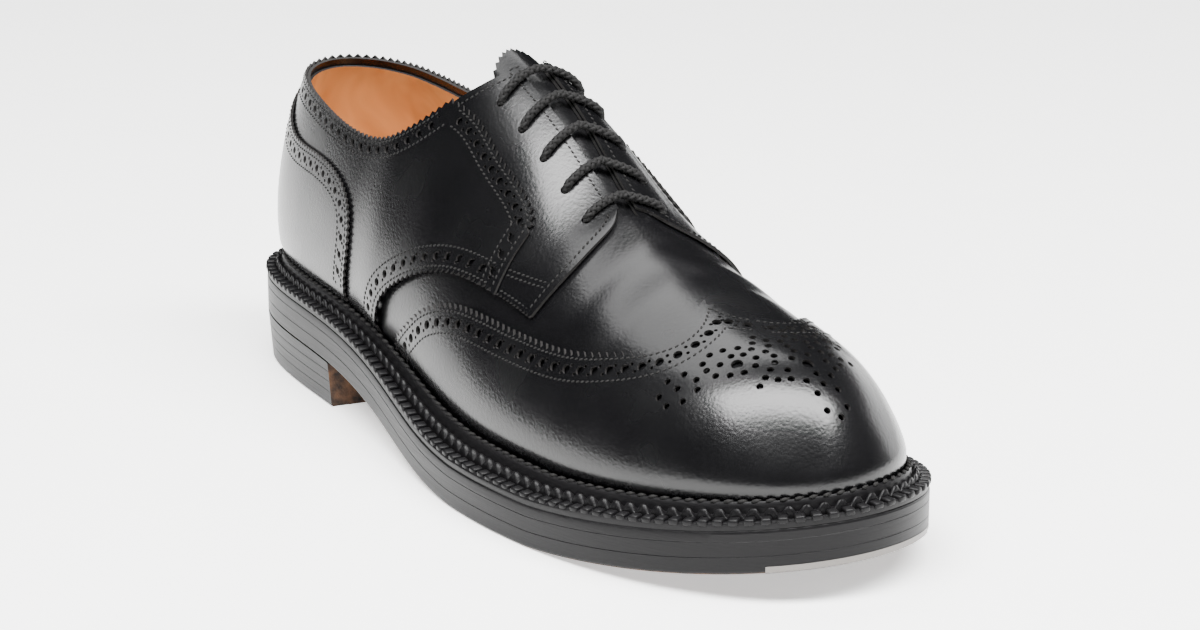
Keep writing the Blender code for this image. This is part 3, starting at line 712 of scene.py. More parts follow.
def copies(base, places):
    """One mesh of copies of a base shape, in millimetres, its x along each place and its z out of it."""
    points, ahead, up = (np.concatenate([p[k] for p in places]) for k in range(3))
    across = unit(np.cross(up, ahead))
    ahead = np.cross(across, up)
    corners = np.array([v.co for v in base.verts])
    base.verts.index_update()
    faces = np.array([[v.index for v in f.verts] for f in base.faces])
    moved = points[:, None] + sum(corners[None, :, k, None] * axis[:, None]
                                  for k, axis in enumerate((ahead, across, up)))
    mesh = bpy.data.meshes.new("copies")
    shift = np.arange(len(points))[:, None, None] * len(corners)
    mesh.from_pydata(to_frame(moved).reshape(-1, 3), [], (faces[None] + shift).reshape(-1, faces.shape[1]))
    bm = bmesh.new()
    bm.from_mesh(mesh)
    bpy.data.meshes.remove(mesh)
    return bm


def stitch_base(length=1.5, width=0.75, height=0.5, slant=0.22):
    bm = bmesh.new()
    bmesh.ops.create_icosphere(bm, subdivisions=1, radius=0.5)
    bmesh.ops.scale(bm, vec=(length, width, height), verts=bm.verts)
    for vert in bm.verts:
        vert.co.y += slant * vert.co.x
    return bm


def drill(diameter):
    """A cutter for one hole, a closed prism along z, with triangles only."""
    bm = bmesh.new()
    bmesh.ops.create_cone(bm, cap_ends=True, cap_tris=True, segments=DRILL_SIDES, radius1=diameter / 2,
                          radius2=diameter / 2, depth=DRILL_DEPTH)
    bmesh.ops.triangulate(bm, faces=bm.faces)
    return bm


def punch(piece, bores):
    """Cut holes: bores are (diameter, places) pairs."""
    for diameter, places in bores:
        bm = copies(drill(diameter), places)
        for face in bm.faces:
            face.material_index = 1
        mesh = bpy.data.meshes.new("drills")
        bm.to_mesh(mesh)
        bm.free()
        drills = bpy.data.objects.new("drills", mesh)
        bpy.context.scene.collection.objects.link(drills)
        cut = piece.modifiers.new("holes", "BOOLEAN")
        cut.object, cut.operation, cut.solver = drills, "DIFFERENCE", "MANIFOLD"
        graph = bpy.context.evaluated_depsgraph_get()
        mesh = bpy.data.meshes.new_from_object(piece.evaluated_get(graph))
        piece.modifiers.clear()
        piece.data = mesh
        bpy.data.objects.remove(drills)
    piece.data.shade_smooth()
    piece.data.set_sharp_from_angle(angle=np.radians(SHARP))
    print(piece.name, "punched:", sum(len(p[0]) for _, places in bores for p in places), "holes,",
          len(piece.data.polygons), "faces")


def inner_row(edge, side, inwards, distance):
    """The edge moved inwards, without the parts that come too close to it past a corner or the ridge."""
    row = shift_line(edge, side, inwards * distance)
    gaps = np.linalg.norm(skin(row, side)[:, None] - skin(edge, side)[None], axis=-1).min(1)
    return row[gaps > distance - ROW_SLACK]


def brogue(edge, side, lift, inwards, first, holes, last, start=0.0, end=0.0):
    """Stitch lines and holes of a band along an edge; inwards is 1 where the band is left of the edge."""
    rows = [inner_row(edge, side, inwards, d) for d in (first, last)]
    middle = inner_row(edge, side, inwards, holes)
    pair = [shift_line(middle, side, d) for d in (-PAIR_HALF, PAIR_HALF)]
    return {
        "stitches": [stand(row, side, lift, STITCH_PITCH, start, end) for row in rows],
        "big": [stand(middle, side, lift, HOLE_PITCH, start, end)],
        "small": [stand(row, side, lift, HOLE_PITCH, start, end, 1.0) for row in pair],
    }


def gather(bands, key):
    return [places for band in bands for places in band[key]]


print("brogue tools ready")

# %% [markdown]
# ## Vamp and lining
# The vamp is the front of the upper and carries everything else. It could be cut only where it shows, but
# a whole wall from the sole to the collar also closes the shoe behind every hole. The lining is a second
# wall inside it, of tan leather. Both end at the collar and at the lace slot.

# %% Vamp and lining
SIDE_COLUMNS, UPPER_ROWS = 150, 44
VAMP, LINING = 1.0, 0.9
LINING_DROP, LINING_CLEAR = 0.022, 0.05
# Soft folds across the vamp, where the toes bend: station, depth in millimetres, half width in stations
FOLDS = ((0.632, -0.45, 0.016), (0.662, 0.25, 0.016), (0.69, -0.35, 0.014))


def wall_grids(drop):
    """Columns of the whole upper on both sides.

    Its top edge is lowered by drop, a share of the rise, and more so at the slot.
    """
    stations = np.linspace(0, 1, 900)
    top = even(np.column_stack([stations, top_rise(stations, OUTER)]), OUTER, SIDE_COLUMNS)
    foot = even(np.column_stack([stations, np.zeros_like(stations)]), OUTER, SIDE_COLUMNS)
    grids = {}
    for side in (OUTER, INNER):
        rise = top_rise(top[:, 0], side)
        lower = drop * np.interp(top[:, 0], (0.34, 0.40), (1.0, 5.0))
        head = np.column_stack([top[:, 0], np.where(rise < 1, rise - lower, 1.0)])
        grids[side] = ruled(foot, head, side, UPPER_ROWS)
    return ((OUTER, grids[OUTER]), (INNER, grids[INNER][-2::-1]))


def flat(height):
    return lambda grid, side: np.full(np.shape(grid)[:-1], float(height))


def folded(grid, side):
    """Lift of the vamp with its folds, which fade out down the sides."""
    reach = np.clip((grid[..., 1] - 0.45) / 0.25, 0, 1)
    return sum(deep * np.exp(-((grid[..., 0] - at) / wide) ** 2) for at, deep, wide in FOLDS) * reach


bm = leather_shell(wall_grids(0.0), folded, VAMP)
add_piece("vamp_leather", bm, [calf, cut_edge], ["upper"])
bm = leather_shell(wall_grids(LINING_DROP), flat(-VAMP - LINING_CLEAR), LINING)
add_piece("lining_leather", bm, [lining_tan, cut_edge])

# %% [markdown]
# ## Wing cap
# The cap covers the toe and runs back along both sides as two wings, with a peak on the ridge between them.
# It is one piece of leather on top of the vamp, so one grid goes from the end of the outer wing round the toe
# to the end of the inner wing. In front of the peak the two halves of the grid meet on the ridge and are
# merged.

# %% Wing cap
WING, WING_LEATHER = 1.5, 1.0
WING_BAND = (2.5, 5.8, 9.2)        # outer stitches, holes and inner stitches, from the edge
RIDGE_COLUMNS, WING_ROWS = 26, 40
WING_SIDE = (
    # station, rise
    (0.381, 0.03), (0.393, 0.087), (0.414, 0.157), (0.436, 0.224), (0.461, 0.278), (0.486, 0.318),
    (0.521, 0.355), (0.571, 0.395), (0.612, 0.418))
# The peak stands a little to the outside of the ridge, so only the outer edge climbs to it and turns
WING_TO_PEAK = ((0.657, 0.448), (0.694, 0.502), (0.722, 0.56), (0.746, 0.63), (0.762, 0.72), (0.762, 0.806),
                (0.751, 0.872), (0.736, 0.93))
WING_FROM_PEAK = ((0.736, 0.93), (0.754, 0.946), (0.775, 0.968), (0.802, 1.0))
WING_INNER = ((0.657, 0.458), (0.694, 0.53), (0.727, 0.625), (0.757, 0.735), (0.782, 0.83), (0.797, 0.90),
              (0.804, 0.95), (0.802, 1.0))
TOOTH, TOOTH_DEPTH = 2.8, 1.9
wing_edges = {INNER: smooth_line(WING_SIDE + WING_INNER, INNER),
              OUTER: np.vstack([smooth_line(WING_SIDE + WING_TO_PEAK, OUTER),
                                smooth_line(WING_FROM_PEAK, OUTER, 60)[1:]])}


def wing_grid(side):
    columns = 2 * round(lengths(wing_edges[side], side)[-1] / TOOTH) + 1
    edge = pinked(even(wing_edges[side], side, columns), side, TOOTH_DEPTH)
    edge[-1] = wing_edges[side][-1]
    ridge = np.column_stack([np.linspace(edge[-1, 0], 1, RIDGE_COLUMNS + 1)[1:], np.ones(RIDGE_COLUMNS)])
    head = np.vstack([edge, ridge])
    smooth_head = np.vstack([even(wing_edges[side], side, columns), ridge])
    share = lengths(smooth_head, side) / lengths(smooth_head, side)[-1]
    foot = foot_line(side, WING_SIDE[0][0], 1.0, OVERLAY_FOOT, 300)
    return ruled(sample(foot, side, share * lengths(foot, side)[-1]), head, side, WING_ROWS)


wing_sides = ((OUTER, wing_grid(OUTER)), (INNER, wing_grid(INNER)[-2::-1]))
bm = leather_shell(wing_sides, lasted(WING), WING_LEATHER)
wing = add_piece("wing_cap_leather", bm, [calf, cut_edge], ["wing_cap"])
wing_bands = [brogue(wing_edges[side], side, lasted(WING), -1, *WING_BAND, start=4.0) for side in (OUTER, INNER)]

# %% [markdown]
# The toe carries a pattern of loose holes, the medallion. They were picked in the photograph, traced
# back through the camera to the last, and charted as one half, in millimetres forward of the back row and out
# from the middle line. The other half mirrors it. Seen from above, the middle line leans a little to the
# inside, like the toe itself.

# %% Medallion
MEDALLION_BACK, MEDALLION_SHIFT, MEDALLION_LEAN = 262.0, 1.5, 0.1
DOT, LARGE_DOT = 2.1, 3.6
MIDDLE_DOTS = ((6.1, DOT), (8.9, DOT), (11.6, DOT), (17.6, LARGE_DOT), (21.2, DOT), (24.2, DOT), (31.6, DOT))
SIDE_DOTS = (
    # forward, side
    (0.5, 5.0), (3.0, 7.0), (5.2, 9.0), (3.8, 3.2), (6.6, 4.5), (8.4, 6.9), (11.2, 6.2), (13.4, 7.7),
    (14.6, 10.2), (2.0, 11.2), (-0.4, 14.3), (-2.0, 17.3), (-1.3, 20.2), (3.4, 14.4), (5.4, 12.0),
    (8.8, 10.3), (11.0, 12.2),
    (3.2, 17.9), (1.4, 21.0), (10.6, 15.6), (8.2, 18.4), (5.0, 20.6), (0.8, 23.8), (-3.6, 24.4), (14.2, 2.7),
    (17.2, 6.4), (19.9, 7.4), (22.2, 4.0), (18.3, 10.4), (15.8, 12.6), (16.6, 15.2), (25.9, 3.4), (29.8, 3.4),
    (-6.9, 27.4), (-2.7, 27.4), (-6.6, 30.6), (-2.8, 31.0), (1.3, 28.6), (3.2, 25.2))
LARGE_SIDE_DOTS = ((6.9, 15.2),)


def toe_places(spots, lift):
    """Places on the toe of (forward, side) spots seen from above, on both sides of the middle line."""
    stations, rises = np.linspace(0.7, 1, 420), np.linspace(0.3, 1, 320)
    grid = np.stack(np.meshgrid(stations, rises, indexing="ij"), -1).reshape(-1, 2)
    plans = {side: skin(grid, side)[:, :2] for side in (OUTER, INNER)}
    places = []
    for forward, out in spots:
        x = MEDALLION_BACK + forward
        y = ridge_side(x) - MEDALLION_SHIFT + MEDALLION_LEAN * forward + out
        side = INNER if y > ridge_side(x) else OUTER
        pair = grid[((plans[side] - (x, y)) ** 2).sum(1).argmin()][None]
        ahead = np.array([[1.0, 0.0, 0.0]])
        places.append((skin(pair, side, lift(pair, side)), ahead, skin_normal(pair, side)))
    return places


def both(spots):
    return [(f, s * way) for f, s in spots for way in (-1, 1)]


def middle(size):
    return [(f, 0.0) for f, d in MIDDLE_DOTS if d == size]


dots = toe_places(both(SIDE_DOTS) + middle(DOT), lasted(WING))
large_dots = toe_places(both(LARGE_SIDE_DOTS) + middle(LARGE_DOT), lasted(WING))
print("medallion:", len(dots), "dots and", len(large_dots), "large ones")

# %% [markdown]
# ## Lace facings
# The front of each quarter carries the eyelets. Its lower and front edges lie on the vamp, the front edge a
# little proud, so that it throws the dark line that marks a derby. Its back hides under the quarter panel.

# %% Lace facings
FACING, FACING_LEATHER = 1.3, 1.0
FACING_LOW = ((0.47, 0.358), (0.491, 0.381), (0.526, 0.413), (0.561, 0.439), (0.587, 0.449))
FACING_FRONT = ((0.587, 0.449), (0.595, 0.538), (0.6025, 0.666), (0.603, 0.78), (0.6005, 0.85), (0.5945, 0.905),
                (0.586, 0.94))
FACING_BACK, FACING_ROWS, FACING_PROUD = 0.36, 44, 0.35


def facing_lift(grid, side):
    base = np.full(np.shape(grid)[:-1], FACING)
    if np.ndim(grid) == 3:
        near_edge = (1 - np.linspace(0, 1, grid.shape[1])) ** 9
        in_front = np.clip((grid[..., 0] - 0.55) / 0.04, 0, 1)
        base = base + FACING_PROUD * near_edge * in_front
    return base


facings, facing_fronts, facing_tops = {}, {}, {}
for side in (OUTER, INNER):
    lower = even(smooth_line(FACING_LOW, side), side, 46)
    front = smooth_line(FACING_FRONT, side)
    facing_fronts[side] = front
    low = np.vstack([pinked(lower, side, -1.0), even(front, side, 60)[1:]])
    stations = np.linspace(FACING_BACK, FACING_FRONT[-1][0], 300)
    top = np.column_stack([stations, top_rise(stations, side) - 0.004])
    facing_tops[side] = top
    high = even(top, side, len(low))
    bm = leather_shell(((side, ruled(low, high, side, FACING_ROWS)),), facing_lift, FACING_LEATHER)
    facings[side] = add_piece("facing_leather_" + side, bm, [calf, cut_edge])

# %% [markdown]
# ## Quarter panels
# Behind the facing lies the quarter panel, on top of it. Its front edge slants down from the collar, its top
# edge is the collar itself, and its lower edge sweeps over the vamp in a bow. All three are pinked and
# brogued. It goes round the heel under the counter.

# %% Quarter panels
PANEL_BACK, PANEL_FRONT, PANEL_LEATHER = 1.05, 2.5, 0.85
BOW = ((0.357, 0.03), (0.359, 0.06), (0.368, 0.127), (0.393, 0.204), (0.426, 0.281), (0.459, 0.341),
       (0.491, 0.381), (0.526, 0.413), (0.534, 0.419))
BAND_FRONT = ((0.391, 0.70), (0.43, 0.668), (0.466, 0.655), (0.50, 0.654), (0.527, 0.651), (0.539, 0.625),
              (0.538, 0.56), (0.535, 0.49), (0.534, 0.419))
BAND_TOP = 0.391
COLLAR_BAND, FRONT_BAND, BOW_BAND = (1.9, 4.3, 6.9), (1.9, 4.5, 7.2), (1.9, 5.0, 8.2)
PANEL_COLUMNS, PANEL_ROWS, COLLAR_TOOTH, BOW_TOOTH = 150, 44, 1.4, 1.5


def panel_lift(grid, side):
    """Lift of a panel: low under the counter, high over the facing."""
    return skived(grow(grid[..., 0], 0.30, 0.06, PANEL_BACK, PANEL_FRONT), grid, side)


panels, collar_lines, front_lines, bow_lines = {}, {}, {}, {}
for side in (OUTER, INNER):
    bow_lines[side] = smooth_line(BOW, side)
    foot = foot_line(side, 0.0, BOW[0][0], OVERLAY_FOOT)
    stations = np.linspace(0, BAND_TOP, 400)
    collar_lines[side] = np.column_stack([stations, top_rise(stations, side) + 0.006])
    table = np.array(BAND_FRONT)
    table[0, 1] = collar_lines[side][-1, 1]
    front_lines[side] = smooth_line(table, side)
    low_smooth = even(np.vstack([foot, bow_lines[side][1:]]), side, PANEL_COLUMNS)
    low = np.where((low_smooth[:, 0] > BOW[1][0])[:, None], pinked(low_smooth, side, -BOW_TOOTH), low_smooth)
    high_smooth = even(np.vstack([collar_lines[side], front_lines[side][1:]]), side, PANEL_COLUMNS)
    plain = (high_smooth[:, 0] > 0.5) & (high_smooth[:, 1] < 0.6)
    high = np.where(plain[:, None], high_smooth, pinked(high_smooth, side, COLLAR_TOOTH))
    low[-1] = high[-1] = BOW[-1]
    bm = leather_shell(((side, ruled(low, high, side, PANEL_ROWS)),), panel_lift, PANEL_LEATHER)
    panels[side] = add_piece("quarter_leather_" + side, bm, [calf, cut_edge], ["quarter_" + side])
panel_bands = []
for side in (OUTER, INNER):
    panel_bands.append(brogue(collar_lines[side], side, panel_lift, -1, *COLLAR_BAND, end=5.0))
    panel_bands.append(brogue(front_lines[side], side, panel_lift, -1, *FRONT_BAND, start=5.0, end=3.0))
    panel_bands.append(brogue(bow_lines[side], side, panel_lift, 1, *BOW_BAND, start=2.0, end=5.0))

# %% [markdown]
# ## Counter
# The counter stiffens the heel. It is one piece round the back, over both panels, with a brogued band along
# its upper edge that turns down to the welt in front.

# %% Counter
COUNTER, COUNTER_LEATHER = 2.3, 0.9
COUNTER_BAND, COUNTER_TOOTH = (1.8, 4.4, 7.2), 1.0
COUNTER_COLUMNS, COUNTER_ROWS = 111, 36
COUNTER_EDGE = ((0.0, 0.325), (0.08, 0.308), (0.148, 0.298), (0.20, 0.305), (0.245, 0.305), (0.281, 0.285),
                (0.302, 0.245), (0.310, 0.17), (0.306, 0.10), (0.301, 0.04))
counter_edges = {side: smooth_line(COUNTER_EDGE, side) for side in (OUTER, INNER)}


def counter_grid(side):
    head = pinked(even(counter_edges[side], side, COUNTER_COLUMNS), side, COUNTER_TOOTH)
    foot = even(foot_line(side, 0.0, COUNTER_EDGE[-1][0], OVERLAY_FOOT), side, COUNTER_COLUMNS)
    foot[-1] = head[-1] = COUNTER_EDGE[-1]
    return ruled(foot, head, side, COUNTER_ROWS)


counter_sides = ((INNER, counter_grid(INNER)[::-1]), (OUTER, counter_grid(OUTER)[1:]))
bm = leather_shell(counter_sides, lasted(COUNTER), COUNTER_LEATHER)
counter = add_piece("counter_leather", bm, [calf, cut_edge], ["counter"])
counter_bands = [brogue(counter_edges[side], side, lasted(COUNTER), -1, *COUNTER_BAND, end=6.0)
                 for side in (OUTER, INNER)]

# %% [markdown]
# ## Punching and sewing
# Now the bands are punched. The holes of the panels and the counter are a little smaller than those of the
# wing. The facings get their eyelets, five blind holes on each side.

# %% Punch the brogue holes
LACE, LACE_HALF, LACE_BARS, LACE_FIRST_X, LACE_STEP_X = 2.8, 12.6, 5, 143.0, 10.9
PANEL_HOLE, COUNTER_HOLE, EYELET = BIG_HOLE - 0.3, BIG_HOLE - 0.5, 3.0


def eyelet(bar, side):
    """(station, rise) of an eyelet, the first at the top."""
    station = station_at(LACE_FIRST_X + LACE_STEP_X * bar)
    return np.array([[station, float(rise_at_distance(station, side, LACE_HALF))]])


def eyelet_places(side):
    spots = np.concatenate([eyelet(bar, side) for bar in range(LACE_BARS)])
    return [(skin(spots, side, FACING), np.tile((1.0, 0.0, 0.0), (LACE_BARS, 1)), skin_normal(spots, side))]


punch(wing, [(BIG_HOLE, gather(wing_bands, "big")), (SMALL_HOLE, gather(wing_bands, "small")), (DOT, dots),
             (LARGE_DOT, large_dots)])
punch(counter, [(COUNTER_HOLE, gather(counter_bands, "big")), (SMALL_HOLE, gather(counter_bands, "small"))])
for k, side in enumerate((OUTER, INNER)):
    own = panel_bands[3 * k:3 * k + 3]
    punch(panels[side], [(PANEL_HOLE, gather(own, "big")), (SMALL_HOLE, gather(own, "small"))])
    punch(facings[side], [(EYELET, eyelet_places(side))])

# %% [markdown]
# The sewing follows. Every band has its two lines of stitches. Besides, each facing has plain seams along its
# front edge, its lower edge and the slot, and a tack of two short rows that takes the pull of the lace. All
# the stitches are one mesh, which is far lighter than thousands of objects.

# %% Sew the stitch lines
FRONT_SEAM, LOW_SEAM, SLOT_SEAM = 2.6, 1.9, 2.4        # distance of the seam from the edge
FRONT_SEAM_LIFT = 0.22                                 # the front edge stands proud
SLOT_SEAM_FROM, SLOT_SEAM_END = 13.0, 5.0              # where the slot's seam starts, and how early it ends
TACK, TACK_ROWS = ((0.535, 0.474), (0.596, 0.558)), (0.0, 1.7)
ROUND = 80                                             # round things have no sharp edges below this angle
plain_seams = []
for side in (OUTER, INNER):
    front = shift_line(facing_fronts[side], side, FRONT_SEAM)
    plain_seams.append(stand(front, side, flat(FACING + FRONT_SEAM_LIFT), STITCH_PITCH, 2.0, 3.0))
    under = shift_line(smooth_line(FACING_LOW[2:], side), side, LOW_SEAM)
    plain_seams.append(stand(under, side, flat(FACING), STITCH_PITCH, 3.0))
    end = lengths(facing_tops[side], side)[-1] - SLOT_SEAM_END
    slot_edge = sample(facing_tops[side], side, np.linspace(SLOT_SEAM_FROM, end, 200))
    plain_seams.append(stand(shift_line(slot_edge, side, -SLOT_SEAM), side, flat(FACING), STITCH_PITCH))
    tack = even(np.array(TACK), side, 60)
    for row in TACK_ROWS:
        plain_seams.append(stand(shift_line(tack, side, row), side, flat(FACING), STITCH_PITCH))
all_bands = wing_bands + panel_bands + counter_bands
seams = copies(stitch_base(), gather(all_bands, "stitches") + plain_seams)
add_piece("upper_stitches", seams, [thread], sharp=ROUND)

# %% [markdown]
# ## Tongue
# The tongue closes the slot from inside. Only a strip of it shows between the facings, and its pinked end
# just above them.

# %% Tongue
WALL, TONGUE, TONGUE_HALF = 2.0, 1.8, 15.0
TONGUE_TOP_X, TONGUE_FRONT_X, TONGUE_ROUND, TONGUE_TOOTH = 128.5, 204.0, 0.045, 1.2
TONGUE_CLEAR, TONGUE_STEP = 0.15, (9.0, 12.5)    # its middle lies under the vamp, its sides under the lining


def across(ridge_x, distances, lift):
    """Points across the ridge at distances from it, seen from above, negative to the outside."""
    distances = np.asarray(distances, float)
    station = np.full(len(distances), station_at(ridge_x))
    lift = np.broadcast_to(lift, len(distances))
    points = {}
    for side in (OUTER, INNER):
        rise = np.where(distances == 0, 1.0, rise_at_distance(station, side, np.abs(distances)))
        points[side] = skin(np.column_stack([station, rise]), side, lift)
    return np.where((distances > 0)[:, None], points[INNER], points[OUTER])


tongue_spots = np.linspace(-TONGUE_HALF, TONGUE_HALF, 33)
tongue_lifts = np.interp(np.abs(tongue_spots), TONGUE_STEP, (-VAMP - TONGUE_CLEAR, -WALL - TONGUE_CLEAR))
tongue_ends = TONGUE_TOP_X + TONGUE_ROUND * tongue_spots ** 2
tongue_ends[1::2] += TONGUE_TOOTH
ridge_rows = np.linspace(TONGUE_TOP_X, TONGUE_FRONT_X, 50)
tongue_sheets = []
for drop in (0.0, TONGUE):
    rows = np.array([across(x, tongue_spots, tongue_lifts - drop) for x in ridge_rows])
    columns = [[np.interp(np.linspace(end, TONGUE_FRONT_X, 40), ridge_rows, rows[:, c, k]) for k in range(3)]
               for c, end in enumerate(tongue_ends)]
    tongue_sheets.append(np.array(columns).transpose(0, 2, 1))
bm = thick_mesh(*tongue_sheets)
add_piece("tongue_leather", bm, [calf, cut_edge], ["tongue"])

# %% [markdown]
# ## Lace
# Five bars of round braid cross the slot. A braid is strands that wind both ways and pass over and under
# each other, so six thin tubes are swept round each bar's line, three each way. At the eyelets the bar
# dips through the facing and stops.

# %% Lace bars
STRANDS, STRAND, BRAID_PITCH, BRAID_SWAY = 6, 0.58, 6.6, 0.18
STRAND_HIGH, STRAND_WIDE = 0.85, 1.15        # a strand is pressed a little flat
LACE_HALF_ROUTE = (
    # distance from the ridge, height above the last
    (0.0, 2.3), (2.0, 2.45), (4.0, 2.6), (6.0, 2.65), (8.0, 2.65), (9.8, 2.6), (11.2, 2.3), (12.4, 1.0),
    (12.8, -0.8))
LACE_ROUTE = [(-d, lift) for d, lift in LACE_HALF_ROUTE[:0:-1]] + list(LACE_HALF_ROUTE)


def lace_bar(bar):
    x = LACE_FIRST_X + LACE_STEP_X * bar
    route = across(x, *np.transpose(LACE_ROUTE))
    steps = np.concatenate([[0], np.cumsum(np.linalg.norm(np.diff(route, axis=0), axis=1))])
    run = np.linspace(0, steps[-1], 90)
    line = spline(steps, route)(run)
    along = unit(np.gradient(line, axis=0))
    side = unit(np.cross(along, (0.3, 0.0, 1.0)))
    up = np.cross(side, along)
    around = np.linspace(0, 2 * np.pi, 7)
    cos, sin = np.cos(around)[None, :, None], np.sin(around)[None, :, None]
    bm = bmesh.new()
    for strand in range(STRANDS):
        way = 1 if strand % 2 == 0 else -1
        turn = way * 2 * np.pi * run / BRAID_PITCH + (strand // 2) * 4 * np.pi / STRANDS
        reach = LACE / 2 - STRAND + way * BRAID_SWAY * np.cos(STRANDS / 2 * turn)
        out = np.cos(turn)[:, None] * side + np.sin(turn)[:, None] * up
        core = line + out * reach[:, None]
        course = unit(np.gradient(core, axis=0))
        edge = unit(np.cross(course, out))
        rim = cos * out[:, None] * STRAND_HIGH + sin * edge[:, None] * STRAND_WIDE
        grid_mesh(core[:, None] + STRAND * rim, bm)
    bmesh.ops.remove_doubles(bm, verts=bm.verts, dist=1e-7)
    bmesh.ops.holes_fill(bm, edges=[e for e in bm.edges if e.is_boundary])
    bmesh.ops.recalc_face_normals(bm, faces=bm.faces)
    name = f"lace_bar_{bar + 1}"
    add_piece("braid_" + name, bm, [cotton], [name], sharp=ROUND)


for bar in range(LACE_BARS):
    lace_bar(bar)

# %% [markdown]
# ## Layers of the bottom
# The bottom is three layers of sole leather, trimmed together, so their edges are flush and only fine lines
# part them. Each layer is a closed strip: a ring across the shoe, wall and top and wall and underside, that
# runs from the heel's back to the toe. The walls are drawn in a hair at both edges, which makes the lines.

# %% Sole layers
LINE, CROSS = 0.1, 7
SOLE_STRIPS, LAYER_SHARP = 170, 18
FACES_DOWN, FACES_AHEAD = -0.75, 0.8


def strip_places(share):
    """Places on the outer and the inner edge at a share of the way from the heel's back to the toe."""
    return share * TOE_U, 1 - share * (1 - TOE_U)


def edge_share(side, line_x, slant, low, high):
    """Share, between low and high, at which the sole's edge crosses a slanting line across the sole."""
    def behind(share):
        spot = sole_edge(strip_places(share)[0 if side == OUTER else 1])
        return spot[0] < line_x + slant * spot[1]
    return float(solve(behind, low, high))


def layer_mesh(shares_out, shares_in, low, high, wall, inset=lambda u: 0.0):
    """A layer of the bottom: strips across the sole between pairs of edge places.

    wall is a list of (inset, share of the height) from the bottom up; low and high give heights along x.
    """
    rings = []
    for so, si in zip(shares_out, shares_in):
        u_out, u_in = strip_places(so)[0], strip_places(si)[1]
        ring = []
        for u, order in ((u_out, 1), (u_in, -1)):
            for step, share in wall[::order]:
                spot = sole_edge(u, step + inset(u))
                bottom, top = low(spot[0]), high(spot[0])
                ring.append(np.append(spot, bottom + (top - bottom) * share))
            other = u_in if order == 1 else u_out
            step, share = wall[-1] if order == 1 else wall[0]
            start, end = sole_edge(u, step + inset(u)), sole_edge(other, step + inset(other))
            for t in np.linspace(0, 1, CROSS + 2)[1:-1]:
                spot = start + (end - start) * t
                ring.append(np.append(spot, (high if order == 1 else low)(spot[0])))
        rings.append(ring + ring[:1])
    bm = grid_mesh(np.array(rings))
    bmesh.ops.remove_doubles(bm, verts=bm.verts, dist=2e-6)
    bmesh.ops.dissolve_degenerate(bm, edges=bm.edges, dist=1e-6)
    bmesh.ops.holes_fill(bm, edges=[e for e in bm.edges if e.is_boundary])
    bmesh.ops.recalc_face_normals(bm, faces=bm.faces)
    return bm


def paint_bare(bm, breast=False):
    """Give the underside of a layer, and the breast of a heel lift, the second material."""
    for face in bm.faces:
        if face.normal.z < FACES_DOWN or (breast and face.normal.x > FACES_AHEAD):
            face.material_index = 1


# Walls of the layers, from the bottom up: inset, share of the height
flush = ((LINE, 0.0), (0.0, 0.03), (0.0, 0.97), (LINE, 1.0))
tread = ((0.7, 0.0), (0.18, 0.07), (0.0, 0.16), (0.0, 0.97), (LINE, 1.0))
crown = ((LINE, 0.0), (0.0, 0.06), (0.0, 0.7), (0.2, 0.9), (0.6, 1.0))
way = np.linspace(0, 1, SOLE_STRIPS)
shares = 0.5 * way + 0.25 * (1 - np.cos(np.pi * way))        # closer at both ends
layers = (("outsole", 0.0, OUTSOLE, tread), ("midsole_lower", OUTSOLE, LOWER_MIDSOLE, flush),
          ("midsole_upper", OUTSOLE + LOWER_MIDSOLE, UPPER_MIDSOLE, crown))
for name, base, pitch, wall in layers:
    bm = layer_mesh(shares, shares, lambda x, b=base: underside(x) + b,
                    lambda x, t=base + pitch: underside(x) + t, wall)
    paint_bare(bm)
    add_piece(name + "_leather", bm, [edge_wax, sole_bare], [name], sharp=LAYER_SHARP)

# %% [markdown]
# ## Heel
# The heel is a stack of lifts under the back of the sole, cut off in front by the breast, which is left bare.
# Its sides run in a little towards the floor. The lowest lift, the top piece, is the one that walks. The
# lifts are made like the layers above them, with strips only as far as the breast.

# %% Heel lifts
BREAST_X, BREAST_SLANT, HEEL_TAPER = 91.0, 0.17, 1.2
TOP_PIECE, HEEL_LIFT, HEEL_LIFTS = 5.0, 3.6, 3
HEEL_STRIPS, HEEL_CLOSER = 80, 1.35        # a power that brings the strips closer at the back
walking = ((0.5, 0.0), (0.0, 0.1), (0.0, 0.97), (LINE, 1.0))
heel_way = np.linspace(0, 1, HEEL_STRIPS) ** HEEL_CLOSER
heel_out, heel_in = (edge_share(side, BREAST_X, BREAST_SLANT, 0.0, 0.6) * heel_way for side in (OUTER, INNER))
heel_top = float(underside(0.0))
floors = [0.0] + [TOP_PIECE + HEEL_LIFT * k for k in range(HEEL_LIFTS)] + [heel_top]
for k, name in enumerate(["heel_top_piece"] + [f"heel_lift_{n + 1}" for n in range(HEEL_LIFTS)]):
    taper = [HEEL_TAPER * (1 - floors[n] / heel_top) for n in (k, k + 1)]
    wall = [(taper[0] + (taper[1] - taper[0]) * share + step, share)
            for step, share in (walking if k == 0 else flush)]
    ceiling = underside if k == HEEL_LIFTS else (lambda x, c=floors[k + 1]: c)
    bm = layer_mesh(heel_out, heel_in, lambda x, f=floors[k]: f, ceiling, wall)
    paint_bare(bm, breast=True)
    add_piece(name + "_leather", bm, [edge_wax, sole_bare], [name], sharp=LAYER_SHARP)

# %% [markdown]
# ## Insole and toe plate
# The insole is the leather floor inside the upper, and the plate is a thin piece of steel let into the
# outsole's toe against wear. Both are one more layer of the bottom: the insole drawn in by the margin and the
# wall of the upper, the plate cut off straight behind the toe and a hair proud, so that it covers the leather.

